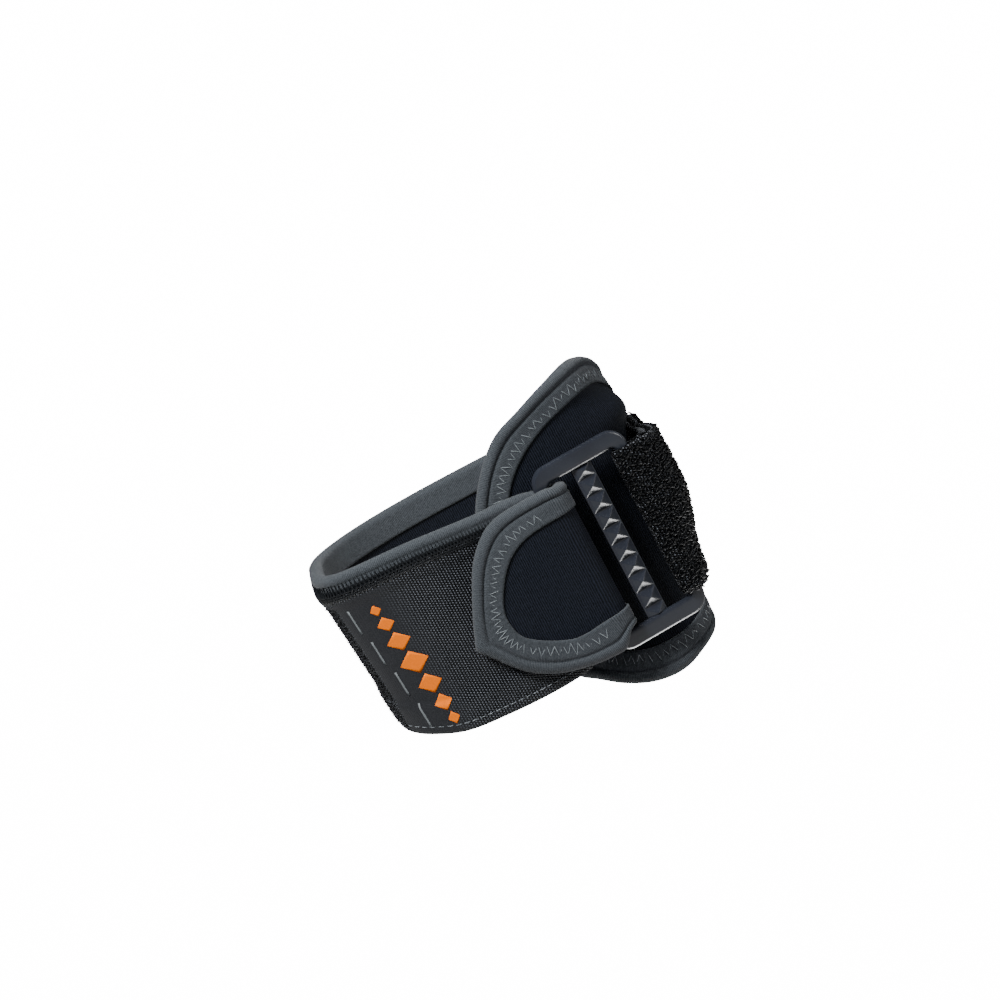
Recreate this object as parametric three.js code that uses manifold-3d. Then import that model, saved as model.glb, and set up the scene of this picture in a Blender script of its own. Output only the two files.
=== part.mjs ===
// Tennis elbow strap: a neoprene pad and strap closed into an oval band with a three bar buckle.
// Millimetres. X runs right across the buckle, Y back through the opening, Z up along its axis.
// The origin is the middle of the oval opening.
import * as THREE from "three";
import { mergeVertices } from "three/addons/utils/BufferGeometryUtils.js";
import Module from "manifold-3d";

const wasm = await Module();
wasm.setup();

// Opening in plan, flatter in front than behind
const OPENING_WIDTH = 98;
const OPENING_DEPTH = 84;
const FRONT_SQUARENESS = 5;
const BACK_SQUARENESS = 2.4;

// The band widens and leans toward the top, but stays upright behind the buckle
const BAND_TAPER = 0.0014;
const BAND_LEAN = -0.01;
const UPRIGHT_FROM = -25;
const UPRIGHT_TO = 50;
const UPRIGHT_FADE = 25;

// Sheet stock
const NEOPRENE = 3.4;
const TAPE = 0.5;
const TAPE_REACH = 8.5;
const FACING = 0.7;
const LOOP_PILE = 2;
const GAP = 0.3;
const EDGE_ROUND = 1;

// Pad, from its tip under the strap to the seam at the back
const PAD_TIP = -6;
const PAD_LENGTH = 124;
const PAD_HALF_HEIGHT = 51.5;
const PAD_MIDDLE = 4.8;
const LOBE_START = 36;
const LOBE_LIFT = 3.5;
const LOBE_LIFT_PLACE = 20;
const LOBE_TUCK = 1.2;
const LOBE_TUCK_PLACE = 55;
const LOBE_SPREAD = 26;

// Strap, from the seam to the first slot, and the flap folded back from it
const STRAP_HALF_HEIGHT = 31.5;
const NECK_LENGTH = 21.7;
const RAMP_LENGTH = 40;
const RAMP_CLEARANCE = 3;
const FLAP_HALF_HEIGHT = 29.5;
const FLAP_LENGTH = 42;
const SETTLE_CLEARANCE = 1;
const SETTLE_LENGTH = 17;

// Fabrics on the strap
const FACING_SETBACK = 6.3;
const FACING_LAP = 21;
const FACING_SHORT = 10;
const FACING_STEP_CLEARANCE = 1.2;
const FACING_STEP_DOWN = 2;
const HOOK_LENGTH = 13;
const HOOK_HEIGHT = 23;
const HOOK_MIDDLE = -1.5;
const HOOK_SHORT = 5;

// Buckle
const BUCKLE_PLACE = 21.7;
const BUCKLE_MIDDLE = 0.95;
const BUCKLE_TURN = THREE.MathUtils.degToRad(10);
const BUCKLE_HEIGHT = 64.5;
const BUCKLE_THICKNESS = 3;
const BUCKLE_CORNER = 6;
const BUCKLE_BEVEL = 0.7;
const SLOT_LENGTH = 52.7;
const SLOT_CORNER = 2;
const FIRST_SLOT = 9.6;
const SECOND_SLOT = 8.8;
const END_BAR = 4.2;
const MIDDLE_BAR = 6.8;
const BAR_CLEARANCE = 0.8;
const STRAP_SIDE_CLEARANCE = 0.65;
const STUD_COUNT = 10;
const STUD_PITCH = 5.66;
const STUD_HEIGHT = 1.7;
const STUD_SEAT = -0.4;
const STUD_SINK = 0.3;
const STUD_SHIFT = -0.7;

// Keeper, folded round the right bar and sewn to the pad
const KEEPER_CLEARANCE = 0.4;
const KEEPER_SIDE_CLEARANCE = 1.1;
const KEEPER_SETBACK = 1;
const KEEPER_LANDING = 72;
const KEEPER_NECK = 8;
const KEEPER_FLARE = 36;
const KEEPER_TOP = 25.5;
const KEEPER_BOTTOM = -8.5;

// Fineness of the faceted surfaces
const OPENING_SAMPLES = 720;
const NORMAL_STEP = 1.5;
const STATION_STEP = 4;
const PAD_STEP = 4.2;
const LINE_STEP = 1;
const CURVE_DIVISIONS = 4000;
const TAPE_STEP = 6;
const TIP_ROWS = [0.9, 2, 3.6];
const HAIRPIN_STEPS = 8;
const LANDING_STEPS = 6;
const LANDING_PULL = 0.38;
const SOFTEN = 16;
const EDGE_SOFTEN = 2;
const PAD_COLUMNS = [0, 5, 10, 16];
const STRAP_COLUMNS = [0, 11];
const KEEPER_COLUMN = 12;

// Edges of the pad, as shares of its length and half height
const PAD_EDGES = [
  { along: 0.012, top: 0.2, bottom: -0.21 },
  { along: 0.036, top: 0.39, bottom: -0.42 },
  { along: 0.055, top: 0.49, bottom: -0.54 },
  { along: 0.086, top: 0.606, bottom: -0.726 },
  { along: 0.123, top: 0.715, bottom: -0.8 },
  { along: 0.178, top: 0.827, bottom: -0.9 },
  { along: 0.248, top: 0.895, bottom: -0.975 },
  { along: 0.321, top: 0.959, bottom: -0.998 },
  { along: 0.394, top: 0.996, bottom: -0.96 },
  { along: 0.452, top: 1, bottom: -0.93 },
  { along: 0.532, top: 0.965, bottom: -0.87 },
  { along: 0.629, top: 0.86, bottom: -0.77 },
  { along: 0.726, top: 0.72, bottom: -0.65 },
  { along: 0.815, top: 0.605, bottom: -0.56 },
  { along: 0.903, top: 0.53, bottom: -0.51 },
  { along: 1, top: 0.51, bottom: -0.5 },
];

// Edges of the strap, back from the neck to the seam, as shares of that length and the half height
const STRAP_EDGES = [
  { back: 0, top: 0.927, bottom: -1.016 },
  { back: 0.1, top: 0.984, bottom: -1.01 },
  { back: 0.17, top: 0.997, bottom: -0.985 },
  { back: 0.225, top: 1, bottom: -0.9 },
  { back: 0.29, top: 1, bottom: -0.8 },
  { back: 0.36, top: 1, bottom: -0.72 },
  { back: 0.45, top: 1, bottom: -0.675 },
  { back: 0.66, top: 0.984, bottom: -0.665 },
  { back: 1, top: 0.984, bottom: -0.667 },
];

// How far the neck has opened from the slot's height, back along its length
const NECK_OPENING = [
  { back: 0.12, open: 0.2 },
  { back: 0.3, open: 0.6 },
  { back: 0.54, open: 0.85 },
];

// How far the fold has opened from the slot's height to the flap's, round the bar
const FOLD_OPENING = [
  { turned: 0.2, open: 0 },
  { turned: 0.76, open: 0 },
  { turned: 0.85, open: 0.3 },
  { turned: 0.93, open: 0.75 },
];

// Edges of the flap, as shares of its length and half height
const FLAP_EDGES = [
  { along: 0, top: 0.929, bottom: -0.993 },
  { along: 0.07, top: 0.932, bottom: -1 },
  { along: 0.24, top: 0.922, bottom: -0.99 },
  { along: 0.4, top: 0.892, bottom: -0.96 },
  { along: 0.52, top: 0.83, bottom: -0.915 },
  { along: 0.64, top: 0.695, bottom: -0.83 },
  { along: 0.74, top: 0.525, bottom: -0.73 },
  { along: 0.83, top: 0.288, bottom: -0.593 },
  { along: 0.905, top: 0.068, bottom: -0.458 },
  { along: 0.965, top: -0.136, bottom: -0.356 },
];
const FLAP_TIP_HEIGHT = -0.298;

// Levels of the layers, out from the opening or out from the middle of a sheet
const SEAM = PAD_TIP + PAD_LENGTH;
const KEEPER_END = SEAM - FACING_LAP - KEEPER_SETBACK;
const HALF = NEOPRENE / 2;
const BOUND_FACE = HALF + GAP + TAPE;
const BAND_LEVEL = BOUND_FACE;
const OVER_PAD_LEVEL = BAND_LEVEL + BOUND_FACE + GAP + BOUND_FACE;
const FOLD_RADIUS = BUCKLE_THICKNESS / 2 + BAR_CLEARANCE + BOUND_FACE;
const BAR_LEVEL = OVER_PAD_LEVEL + FOLD_RADIUS;
const FACING_LOW = HALF + GAP;
const FACING_HIGH = BOUND_FACE + GAP;
const FLAP_RISE = FACING_HIGH + FACING + GAP + BOUND_FACE;
const HOOK_LOW = HALF + GAP;
const HOOK_HIGH = FLAP_RISE - FACING_LOW - FACING - GAP;
const KEEPER_LOW = BAND_LEVEL + BOUND_FACE + GAP + LOOP_PILE / 2;
const KEEPER_HIGH = KEEPER_LOW + LOOP_PILE + GAP;
const KEEPER_RADIUS = BUCKLE_THICKNESS / 2 + KEEPER_CLEARANCE + LOOP_PILE / 2;
const SLOT_TOP = BUCKLE_MIDDLE + SLOT_LENGTH / 2;
const SLOT_BOTTOM = BUCKLE_MIDDLE - SLOT_LENGTH / 2;

// Places across the buckle, from the centre of the round edge of the left bar
const LEFT_END = BUCKLE_THICKNESS / 2 - END_BAR;
const MIDDLE_BAR_START = BUCKLE_THICKNESS / 2 + FIRST_SLOT;
const MIDDLE_BAR_END = MIDDLE_BAR_START + MIDDLE_BAR;
const RIGHT_BAR_START = MIDDLE_BAR_END + SECOND_SLOT;
const RIGHT_END = RIGHT_BAR_START + END_BAR;
const KEEPER_FOLD = RIGHT_BAR_START + BUCKLE_THICKNESS / 2;

const { smoothstep, lerp } = THREE.MathUtils;

function spread(from, to, step) {
  const count = Math.max(1, Math.round((to - from) / step));
  return Array.from({ length: count + 1 }, (_, i) => from + ((to - from) * i) / count);
}

// Outline of the opening, each point with its distance round from the front centre
function openingOutline() {
  const outline = [];
  let round = 0;
  for (let i = 0; i <= OPENING_SAMPLES; i += 1) {
    const angle = (2 * Math.PI * i) / OPENING_SAMPLES - Math.PI / 2;
    const power = Math.sin(angle) < 0 ? FRONT_SQUARENESS : BACK_SQUARENESS;
    const across = Math.abs((2 * Math.cos(angle)) / OPENING_WIDTH) ** power;
    const deep = Math.abs((2 * Math.sin(angle)) / OPENING_DEPTH) ** power;
    const radius = (across + deep) ** (-1 / power);
    const point = new THREE.Vector2(Math.cos(angle), Math.sin(angle)).multiplyScalar(radius);
    if (outline.length) round += point.distanceTo(outline.at(-1).point);
    outline.push({ point, round });
  }
  return outline;
}

const OPENING = openingOutline();
const GIRTH = OPENING.at(-1).round;

function onOpening(round) {
  const wrapped = THREE.MathUtils.euclideanModulo(round, GIRTH);
  const next = Math.max(1, OPENING.findIndex((sample) => sample.round >= wrapped));
  const [before, after] = [OPENING[next - 1], OPENING[next]];
  const share = (wrapped - before.round) / (after.round - before.round);
  return before.point.clone().lerp(after.point, share);
}

// How much of the band's taper and lean is felt at a place round the opening
function taperShare(round) {
  const signed = round > GIRTH / 2 ? round - GIRTH : round;
  const beyond = Math.max(UPRIGHT_FROM - signed, signed - UPRIGHT_TO);
  return smoothstep(beyond, 0, UPRIGHT_FADE);
}

function bandStation(round, level) {
  const travel = onOpening(round + NORMAL_STEP).sub(onOpening(round - NORMAL_STEP)).normalize();
  const normal = new THREE.Vector2(travel.y, -travel.x);
  const point = onOpening(round).addScaledVector(normal, level);
  return { point, normal, taper: taperShare(round) };
}

// The way that a sheet's middle surface takes in plan, with straight stretches between its stations
class Run {
  constructor(stations, rise = () => 0) {
    this.stations = stations;
    this.rise = rise;
    this.stops = [0];
    for (let i = 1; i < stations.length; i += 1) {
      this.stops.push(this.stops[i - 1] + stations[i].point.distanceTo(stations[i - 1].point));
    }
  }

  place(along, height, out) {
    const last = this.stops.length - 1;
    const found = this.stops.findIndex((stop) => stop > along);
    const next = found < 0 ? last : Math.max(1, found);
    const share = (along - this.stops[next - 1]) / (this.stops[next] - this.stops[next - 1]);
    const [before, after] = [this.stations[next - 1], this.stations[next]];
    const point = before.point.clone().lerp(after.point, share);
    const normal = before.normal.clone().lerp(after.normal, share);
    point.addScaledVector(normal, out + this.rise(along, height));
    const felt = lerp(before.taper, after.taper, share) * height;
    point.multiplyScalar(1 + BAND_TAPER * felt);
    return new THREE.Vector3(point.x + BAND_LEAN * felt, point.y, height);
  }
}

// Closed surface with its faces pointing out
function closedGeometry(points, triangles) {
  const volume = triangles.reduce((sum, [a, b, c]) => {
    return sum + points[a].dot(points[b].clone().cross(points[c]));
  }, 0);
  const outward = volume < 0 ? triangles.map(([a, b, c]) => [a, c, b]) : triangles;
  const geometry = new THREE.BufferGeometry().setFromPoints(points);
  geometry.setIndex(outward.flat());
  geometry.computeVertexNormals();
  return geometry;
}

// Skin through rings of points. In a ring, point k faces point k from the end across the sheet.
function lofted(rings) {
  const size = rings[0].length;
  const triangles = [];
  for (let r = 0; r + 1 < rings.length; r += 1) {
    for (let k = 0; k < size; k += 1) {
      const [a, b] = [r * size + k, r * size + ((k + 1) % size)];
      triangles.push([a, b, b + size], [a, b + size, a + size]);
    }
  }
  for (let k = 0; k + 1 < size / 2; k += 1) {
    const [a, b, c, d] = [k, k + 1, size - 2 - k, size - 1 - k];
    const end = (rings.length - 1) * size;
    triangles.push([a, c, b], [a, d, c]);
    triangles.push([end + a, end + b, end + c], [end + a, end + c, end + d]);
  }
  return closedGeometry(rings.flat(), triangles);
}

// One ring of a sheet: a row of section points bottom to top, with the levels of both its faces
function sheetRing(run, along, section) {
  const outer = section.map((spot) => run.place(along, spot.height, spot.outer));
  const inner = section.map((spot) => run.place(along, spot.height, spot.inner));
  return [...outer, ...inner.reverse()];
}

// Section of an even sheet: thin at its edges, full between the eased heights, with columns inside
function evenSection(edge, eased, half, columns) {
  const room = (eased.top - eased.bottom) / 2;
  const shrink = Math.min(1, (0.9 * room) / columns.at(-1));
  const low = columns.map((inset) => ({ height: eased.bottom + inset * shrink, level: half }));
  const high = columns.map((inset) => ({ height: eased.top - inset * shrink, level: half }));
  const spots = [
    { height: edge.bottom, level: half / 3 },
    ...low,
    ...high.reverse(),
    { height: edge.top, level: half / 3 },
  ];
  return spots.map(({ height, level }) => ({ height, outer: level, inner: -level }));
}

// Smooth edge line of a sheet on its flat pattern, with the sheet on its left
function edgeLine(corners) {
  const points = corners.map(([along, height]) => new THREE.Vector3(along, height, 0));
  const curve = new THREE.CatmullRomCurve3(points, false, "centripetal");
  curve.arcLengthDivisions = CURVE_DIVISIONS;
  const count = Math.ceil(curve.getLength() / LINE_STEP);
  return curve.getSpacedPoints(count).map((point) => new THREE.Vector2(point.x, point.y));
}

function insetLine(line, distance) {
  return line.map((point, i) => {
    const ahead = line[Math.min(i + 1, line.length - 1)];
    const behind = line[Math.max(i - 1, 0)];
    const travel = ahead.clone().sub(behind).normalize();
    return point.clone().add(new THREE.Vector2(-travel.y, travel.x).multiplyScalar(distance));
  });
}

// Each point replaced by the middle of its neighbours, so that a corner turns wide
function softenedLine(line, reach) {
  return line.map((_, i) => {
    const count = Math.min(Math.round(reach / LINE_STEP), i, line.length - 1 - i);
    const near = line.slice(i - count, i + count + 1);
    const sum = near.reduce((total, point) => total.add(point), new THREE.Vector2());
    return sum.divideScalar(near.length);
  });
}

function onLine(line, place) {
  const i = Math.min(Math.floor(place), line.length - 2);
  return line[i].clone().lerp(line[i + 1], place - i);
}

// Lowest and highest point of an edge line at a distance along the sheet, kept short of its seam
function spanAt(line, distance) {
  const heights = [];
  const ends = [line[0].x, line.at(-1).x];
  const middle = (line[Math.floor(line.length / 2)].x + ends[0]) / 2;
  const short = GAP / 100;
  const along = ends[0] > middle
    ? Math.min(distance, Math.min(...ends) - short)
    : Math.max(distance, Math.max(...ends) + short);
  for (let i = 0; i + 1 < line.length; i += 1) {
    const [a, b] = [line[i], line[i + 1]];
    if ((a.x - along) * (b.x - along) > 0 || a.x === b.x) continue;
    heights.push(lerp(a.y, b.y, (along - a.x) / (b.x - a.x)));
  }
  return { bottom: Math.min(...heights), top: Math.max(...heights), found: heights.length > 1 };
}

// Places on an edge line where it crosses the run's stations, with more where those lie far apart
function tapeStops(run, line) {
  const crossings = [0, line.length - 1];
  for (let i = 0; i + 1 < line.length; i += 1) {
    const [a, b] = [line[i].x, line[i + 1].x];
    const inside = run.stops.filter((stop) => (stop - a) * (stop - b) < 0);
    crossings.push(...inside.map((stop) => i + (stop - a) / (b - a)));
  }
  crossings.sort((a, b) => a - b);
  const kept = crossings.filter((place, i) => i === 0 || place - crossings[i - 1] > LINE_STEP / 2);
  const gaps = kept.slice(1).map((place, i) => {
    const count = Math.ceil(((place - kept[i]) * LINE_STEP) / TAPE_STEP);
    return Array.from({ length: count }, (_, k) => lerp(kept[i], place, k / count));
  });
  return [...gaps.flat(), kept.at(-1)];
}

// Tape folded round an edge: a U section carried along the edge line
function tapeGeometry(run, line) {
  const inner = insetLine(softenedLine(line, SOFTEN), TAPE_REACH);
  const lip = GAP + TAPE + EDGE_ROUND;
  const outside = [
    [TAPE_REACH, BOUND_FACE],
    [EDGE_ROUND, BOUND_FACE - TAPE / 5],
    [0, 0],
    [EDGE_ROUND, TAPE / 5 - BOUND_FACE],
    [TAPE_REACH, -BOUND_FACE],
  ];
  const inside = [
    [TAPE_REACH, TAPE - BOUND_FACE],
    [lip - GAP, TAPE - BOUND_FACE],
    [TAPE, 0],
    [lip - GAP, BOUND_FACE - TAPE],
    [TAPE_REACH, BOUND_FACE - TAPE],
  ];
  const rings = tapeStops(run, line).map((place) => {
    const edge = onLine(line, place);
    const end = onLine(inner, place);
    return [...outside, ...inside].map(([reach, level]) => {
      const spot = edge.clone().lerp(end, reach / TAPE_REACH);
      return run.place(spot.x, spot.y, level);
    });
  });
  return lofted(rings);
}

// Neoprene inside its tape: rows at the run's stations, and closer ones at the thinned tip
function coreGeometry(run, line, columns) {
  const wide = softenedLine(line, EDGE_SOFTEN);
  const core = insetLine(wide, TAPE + 2 * GAP);
  const eased = insetLine(wide, TAPE + 2 * GAP + EDGE_ROUND);
  const reaches = core.map((point) => point.x);
  const [near, far] = [Math.min(...reaches), Math.max(...reaches)];
  const inward = core[0].x > (near + far) / 2 ? 1 : -1;
  const tip = inward > 0 ? near : far;
  const tipRows = TIP_ROWS.map((depth) => tip + inward * depth);
  const clear = run.stops.filter((stop) => (stop - tipRows.at(-1)) * inward > GAP);
  const rows = [...tipRows, ...clear.sort((a, b) => (a - b) * inward)];
  return lofted(rows.map((along) => {
    const edge = spanAt(core, along);
    const inner = spanAt(eased, along);
    const middle = (edge.bottom + edge.top) / 2;
    const full = inner.found ? inner : { bottom: middle - GAP, top: middle + GAP };
    const half = inner.found ? HALF : HALF / 3;
    return sheetRing(run, along, evenSection(edge, full, half, columns));
  }));
}

// Pad
function lobeRise(round, height) {
  const beyond = Math.abs(height - PAD_MIDDLE) - LOBE_START;
  const edge = Math.max(0, beyond / (PAD_HALF_HEIGHT - LOBE_START)) ** 2;
  const lift = 1 - smoothstep(Math.abs(round - LOBE_LIFT_PLACE), 0, LOBE_SPREAD);
  const tuck = 1 - smoothstep(Math.abs(round - LOBE_TUCK_PLACE), 0, LOBE_SPREAD);
  return edge * (LOBE_LIFT * lift - LOBE_TUCK * tuck);
}

const padRounds = spread(PAD_TIP, SEAM - GAP / 2, PAD_STEP);
const padStations = padRounds.map((round) => bandStation(round, BAND_LEVEL));
const padScale = new Run(padStations).stops.at(-1) / (PAD_LENGTH - GAP / 2);
const padRun = new Run(padStations, (along, height) => lobeRise(PAD_TIP + along / padScale, height));

function padCorner(row, side) {
  const along = row.along * padRun.stops.at(-1);
  return [along, PAD_MIDDLE + PAD_HALF_HEIGHT * row[side]];
}

const padLine = edgeLine([
  ...PAD_EDGES.map((row) => padCorner(row, "top")).reverse(),
  [0, PAD_MIDDLE],
  ...PAD_EDGES.map((row) => padCorner(row, "bottom")),
]);

// Strap and flap
function strapLevel(round) {
  const rampEnd = PAD_TIP - RAMP_CLEARANCE;
  const risen = smoothstep(round - GIRTH, rampEnd - RAMP_LENGTH, rampEnd);
  return lerp(BAND_LEVEL, OVER_PAD_LEVEL, risen);
}

function flapStation(round) {
  const back = GIRTH + BUCKLE_PLACE - round;
  const start = SETTLE_CLEARANCE - LEFT_END;
  const settled = smoothstep(back, start, start + SETTLE_LENGTH);
  const level = lerp(BAR_LEVEL + FOLD_RADIUS, strapLevel(round) + FLAP_RISE, settled);
  const station = bandStation(round, level);
  return { ...station, normal: station.normal.clone().negate() };
}

// Half circle round a bar's edge, from the side near the opening to the side away from it
function foldStations(centre, normal, radius, steps) {
  const right = new THREE.Vector2(-normal.y, normal.x);
  return Array.from({ length: steps - 1 }, (_, i) => {
    const angle = (Math.PI * (i + 1)) / steps - Math.PI / 2;
    const way = right.clone().multiplyScalar(Math.cos(angle));
    way.addScaledVector(normal, Math.sin(angle));
    return { point: centre.clone().addScaledVector(way, radius), normal: way.negate(), taper: 0 };
  });
}

const bar = bandStation(BUCKLE_PLACE, BAR_LEVEL);
const strapRounds = spread(SEAM + GAP / 2, GIRTH + BUCKLE_PLACE, STATION_STEP);
const flapCount = Math.ceil(FLAP_LENGTH / STATION_STEP) + 2;
const flapRounds = strapRounds.slice(-flapCount).reverse();
const strapRun = new Run([
  ...strapRounds.map((round) => bandStation(round, strapLevel(round))),
  ...foldStations(bar.point, bar.normal, FOLD_RADIUS, HAIRPIN_STEPS),
  ...flapRounds.map(flapStation),
]);
const barAlong = strapRun.stops[strapRounds.length - 1];
const flapAlong = strapRun.stops[strapRounds.length - 1 + HAIRPIN_STEPS];
const neckAlong = barAlong - NECK_LENGTH;

const slotEdge = {
  top: SLOT_TOP - STRAP_SIDE_CLEARANCE,
  bottom: SLOT_BOTTOM + STRAP_SIDE_CLEARANCE,
};

function strapCorners(side) {
  const neckHeight = STRAP_HALF_HEIGHT * STRAP_EDGES[0][side];
  const flapHeight = FLAP_HALF_HEIGHT * FLAP_EDGES[0][side];
  const strap = STRAP_EDGES.map((row) => {
    return [neckAlong * (1 - row.back), STRAP_HALF_HEIGHT * row[side]];
  }).reverse();
  const neck = NECK_OPENING.map((row) => {
    return [barAlong - NECK_LENGTH * row.back, lerp(slotEdge[side], neckHeight, row.open)];
  }).reverse();
  const fold = FOLD_OPENING.map((row) => {
    return [lerp(barAlong, flapAlong, row.turned), lerp(slotEdge[side], flapHeight, row.open)];
  });
  const flap = FLAP_EDGES.map((row) => {
    return [flapAlong + FLAP_LENGTH * row.along, FLAP_HALF_HEIGHT * row[side]];
  });
  return [...strap, ...neck, [barAlong, slotEdge[side]], ...fold, ...flap];
}

const strapLine = edgeLine([
  ...strapCorners("bottom"),
  [flapAlong + FLAP_LENGTH, FLAP_HALF_HEIGHT * FLAP_TIP_HEIGHT],
  ...strapCorners("top").reverse(),
]);

// Loop fabric facing: low on the neoprene, a step higher over the tape at both its edges
function facingSection(bottom, top) {
  const onTape = TAPE_REACH + FACING_STEP_CLEARANCE;
  const low = [0, onTape, onTape + FACING_STEP_DOWN].map((inset) => bottom + inset);
  const high = [0, onTape - FACING_SETBACK, onTape - FACING_SETBACK + FACING_STEP_DOWN];
  const heights = [...low, ...high.map((inset) => top - FACING_SETBACK - inset).reverse()];
  return heights.map((height, i) => {
    const inner = i === 2 || i === 3 ? FACING_LOW : FACING_HIGH;
    return { height, inner, outer: inner + FACING };
  });
}

function facingGeometry() {
  const lap = spread(SEAM - FACING_LAP, SEAM - GAP / 2, STATION_STEP);
  const onStrap = strapRounds.filter((round) => round < GIRTH + BUCKLE_PLACE - FACING_SHORT);
  const rounds = [...lap, ...onStrap];
  const run = new Run(rounds.map((round) => bandStation(round, strapLevel(round))));
  const rings = rounds.map((round, i) => {
    const onPad = round < SEAM;
    const line = onPad ? padLine : strapLine;
    const along = onPad ? (round - PAD_TIP) * padScale : strapRun.stops[i - lap.length];
    const { bottom, top } = spanAt(line, along);
    return sheetRing(run, run.stops[i], facingSection(bottom + GAP, top));
  });
  return lofted(rings);
}

// Hook fabric on the flap's inner face
function hookGeometry() {
  const start = flapAlong + HOOK_SHORT;
  const end = start + HOOK_LENGTH;
  const section = [-1, 1].map((side) => {
    const height = HOOK_MIDDLE + (side * HOOK_HEIGHT) / 2;
    return { height, inner: HOOK_LOW, outer: HOOK_HIGH };
  });
  const stops = strapRun.stops.filter((stop) => stop > start + GAP && stop < end - GAP);
  return lofted([start, ...stops, end].map((along) => sheetRing(strapRun, along, section)));
}

// Keeper: up from the pad, round the right bar and back down on itself
const buckleRight = new THREE.Vector2(-bar.normal.y, bar.normal.x).rotateAround(
  new THREE.Vector2(),
  BUCKLE_TURN,
);
const buckleOut = new THREE.Vector2(buckleRight.y, -buckleRight.x);
const keeperFold = bar.point.clone().addScaledVector(buckleRight, KEEPER_FOLD);

// Stations of one keeper layer between the pad's side and the bar, from the side to the bar
function keeperLayer(level, fromBar) {
  const side = spread(KEEPER_LANDING, KEEPER_END, STATION_STEP).reverse();
  const onPad = side.map((round) => bandStation(round, level));
  const landing = onPad.at(-1);
  const leaving = new THREE.Vector2(landing.normal.y, -landing.normal.x);
  const touch = keeperFold.clone().addScaledVector(buckleOut, fromBar);
  const start = touch.clone().addScaledVector(buckleRight, END_BAR - BUCKLE_THICKNESS / 2);
  const pull = landing.point.distanceTo(start) * LANDING_PULL;
  const arch = new THREE.CubicBezierCurve(
    landing.point,
    landing.point.clone().addScaledVector(leaving, pull),
    start.clone().addScaledVector(buckleRight, pull),
    start,
  );
  const free = spread(0, 1, 1 / LANDING_STEPS).slice(1).map((share) => {
    const travel = arch.getTangent(share);
    const normal = new THREE.Vector2(-travel.y, travel.x);
    const taper = landing.taper * (1 - share);
    return { point: arch.getPoint(share), normal, taper };
  });
  return [...onPad, ...free, { point: touch, normal: free.at(-1).normal, taper: 0 }];
}

function keeperGeometry() {
  const lower = keeperLayer(KEEPER_LOW, -KEEPER_RADIUS);
  const upper = keeperLayer(KEEPER_HIGH, KEEPER_RADIUS).reverse();
  const fold = foldStations(keeperFold, buckleOut, -KEEPER_RADIUS, HAIRPIN_STEPS).reverse();
  const turned = (station) => ({ ...station, normal: station.normal.clone().negate() });
  const run = new Run([...lower, ...fold.map(turned), ...upper.map(turned)]);
  const middle = run.stops.at(-1) / 2;
  const rings = run.stops.map((along) => {
    const away = smoothstep(Math.abs(along - middle), KEEPER_NECK, KEEPER_FLARE);
    const top = lerp(SLOT_TOP - KEEPER_SIDE_CLEARANCE, KEEPER_TOP, away);
    const bottom = lerp(SLOT_BOTTOM + KEEPER_SIDE_CLEARANCE, KEEPER_BOTTOM, away);
    const eased = { bottom: bottom + EDGE_ROUND, top: top - EDGE_ROUND };
    return sheetRing(run, along, evenSection({ bottom, top }, eased, LOOP_PILE / 2, [0, KEEPER_COLUMN]));
  });
  return lofted(rings);
}

// Buckle, drawn across and up, its thickness toward the viewer
function roundedRectangle(path, left, bottom, right, top, radius) {
  path.moveTo(left + radius, bottom);
  path.lineTo(right - radius, bottom);
  path.absarc(right - radius, bottom + radius, radius, -Math.PI / 2, 0);
  path.lineTo(right, top - radius);
  path.absarc(right - radius, top - radius, radius, 0, Math.PI / 2);
  path.lineTo(left + radius, top);
  path.absarc(left + radius, top - radius, radius, Math.PI / 2, Math.PI);
  path.lineTo(left, bottom + radius);
  path.absarc(left + radius, bottom + radius, radius, Math.PI, 1.5 * Math.PI);
  return path;
}

function solidOf(geometry) {
  const bare = geometry.clone();
  bare.deleteAttribute("normal");
  bare.deleteAttribute("uv");
  const merged = mergeVertices(bare, 1e-4);
  const vertProperties = Float32Array.from(merged.attributes.position.array);
  const triVerts = Uint32Array.from(merged.index.array);
  return new wasm.Manifold(new wasm.Mesh({ numProp: 3, vertProperties, triVerts }));
}

function geometryOf(solid) {
  const mesh = solid.getMesh();
  const geometry = new THREE.BufferGeometry();
  geometry.setAttribute("position", new THREE.BufferAttribute(mesh.vertProperties, 3));
  geometry.setIndex(new THREE.BufferAttribute(mesh.triVerts, 1));
  geometry.computeVertexNormals();
  return geometry;
}

function buckleFrame() {
  const half = BUCKLE_HEIGHT / 2;
  const slot = SLOT_LENGTH / 2;
  const shape = roundedRectangle(new THREE.Shape(), LEFT_END, -half, RIGHT_END, half, BUCKLE_CORNER);
  [
    [BUCKLE_THICKNESS / 2, MIDDLE_BAR_START],
    [MIDDLE_BAR_END, RIGHT_BAR_START],
  ].forEach(([left, right]) => {
    const hole = roundedRectangle(new THREE.Path(), left, -slot, right, slot, SLOT_CORNER);
    shape.holes.push(hole);
  });
  const frame = new THREE.ExtrudeGeometry(shape, {
    depth: BUCKLE_THICKNESS - 2 * BUCKLE_BEVEL,
    bevelThickness: BUCKLE_BEVEL,
    bevelSize: BUCKLE_BEVEL,
    bevelOffset: -BUCKLE_BEVEL,
    bevelSegments: 2,
    curveSegments: 5,
  });
  frame.translate(0, 0, BUCKLE_BEVEL - BUCKLE_THICKNESS / 2);
  frame.rotateX(Math.PI / 2);
  return solidOf(frame);
}

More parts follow.
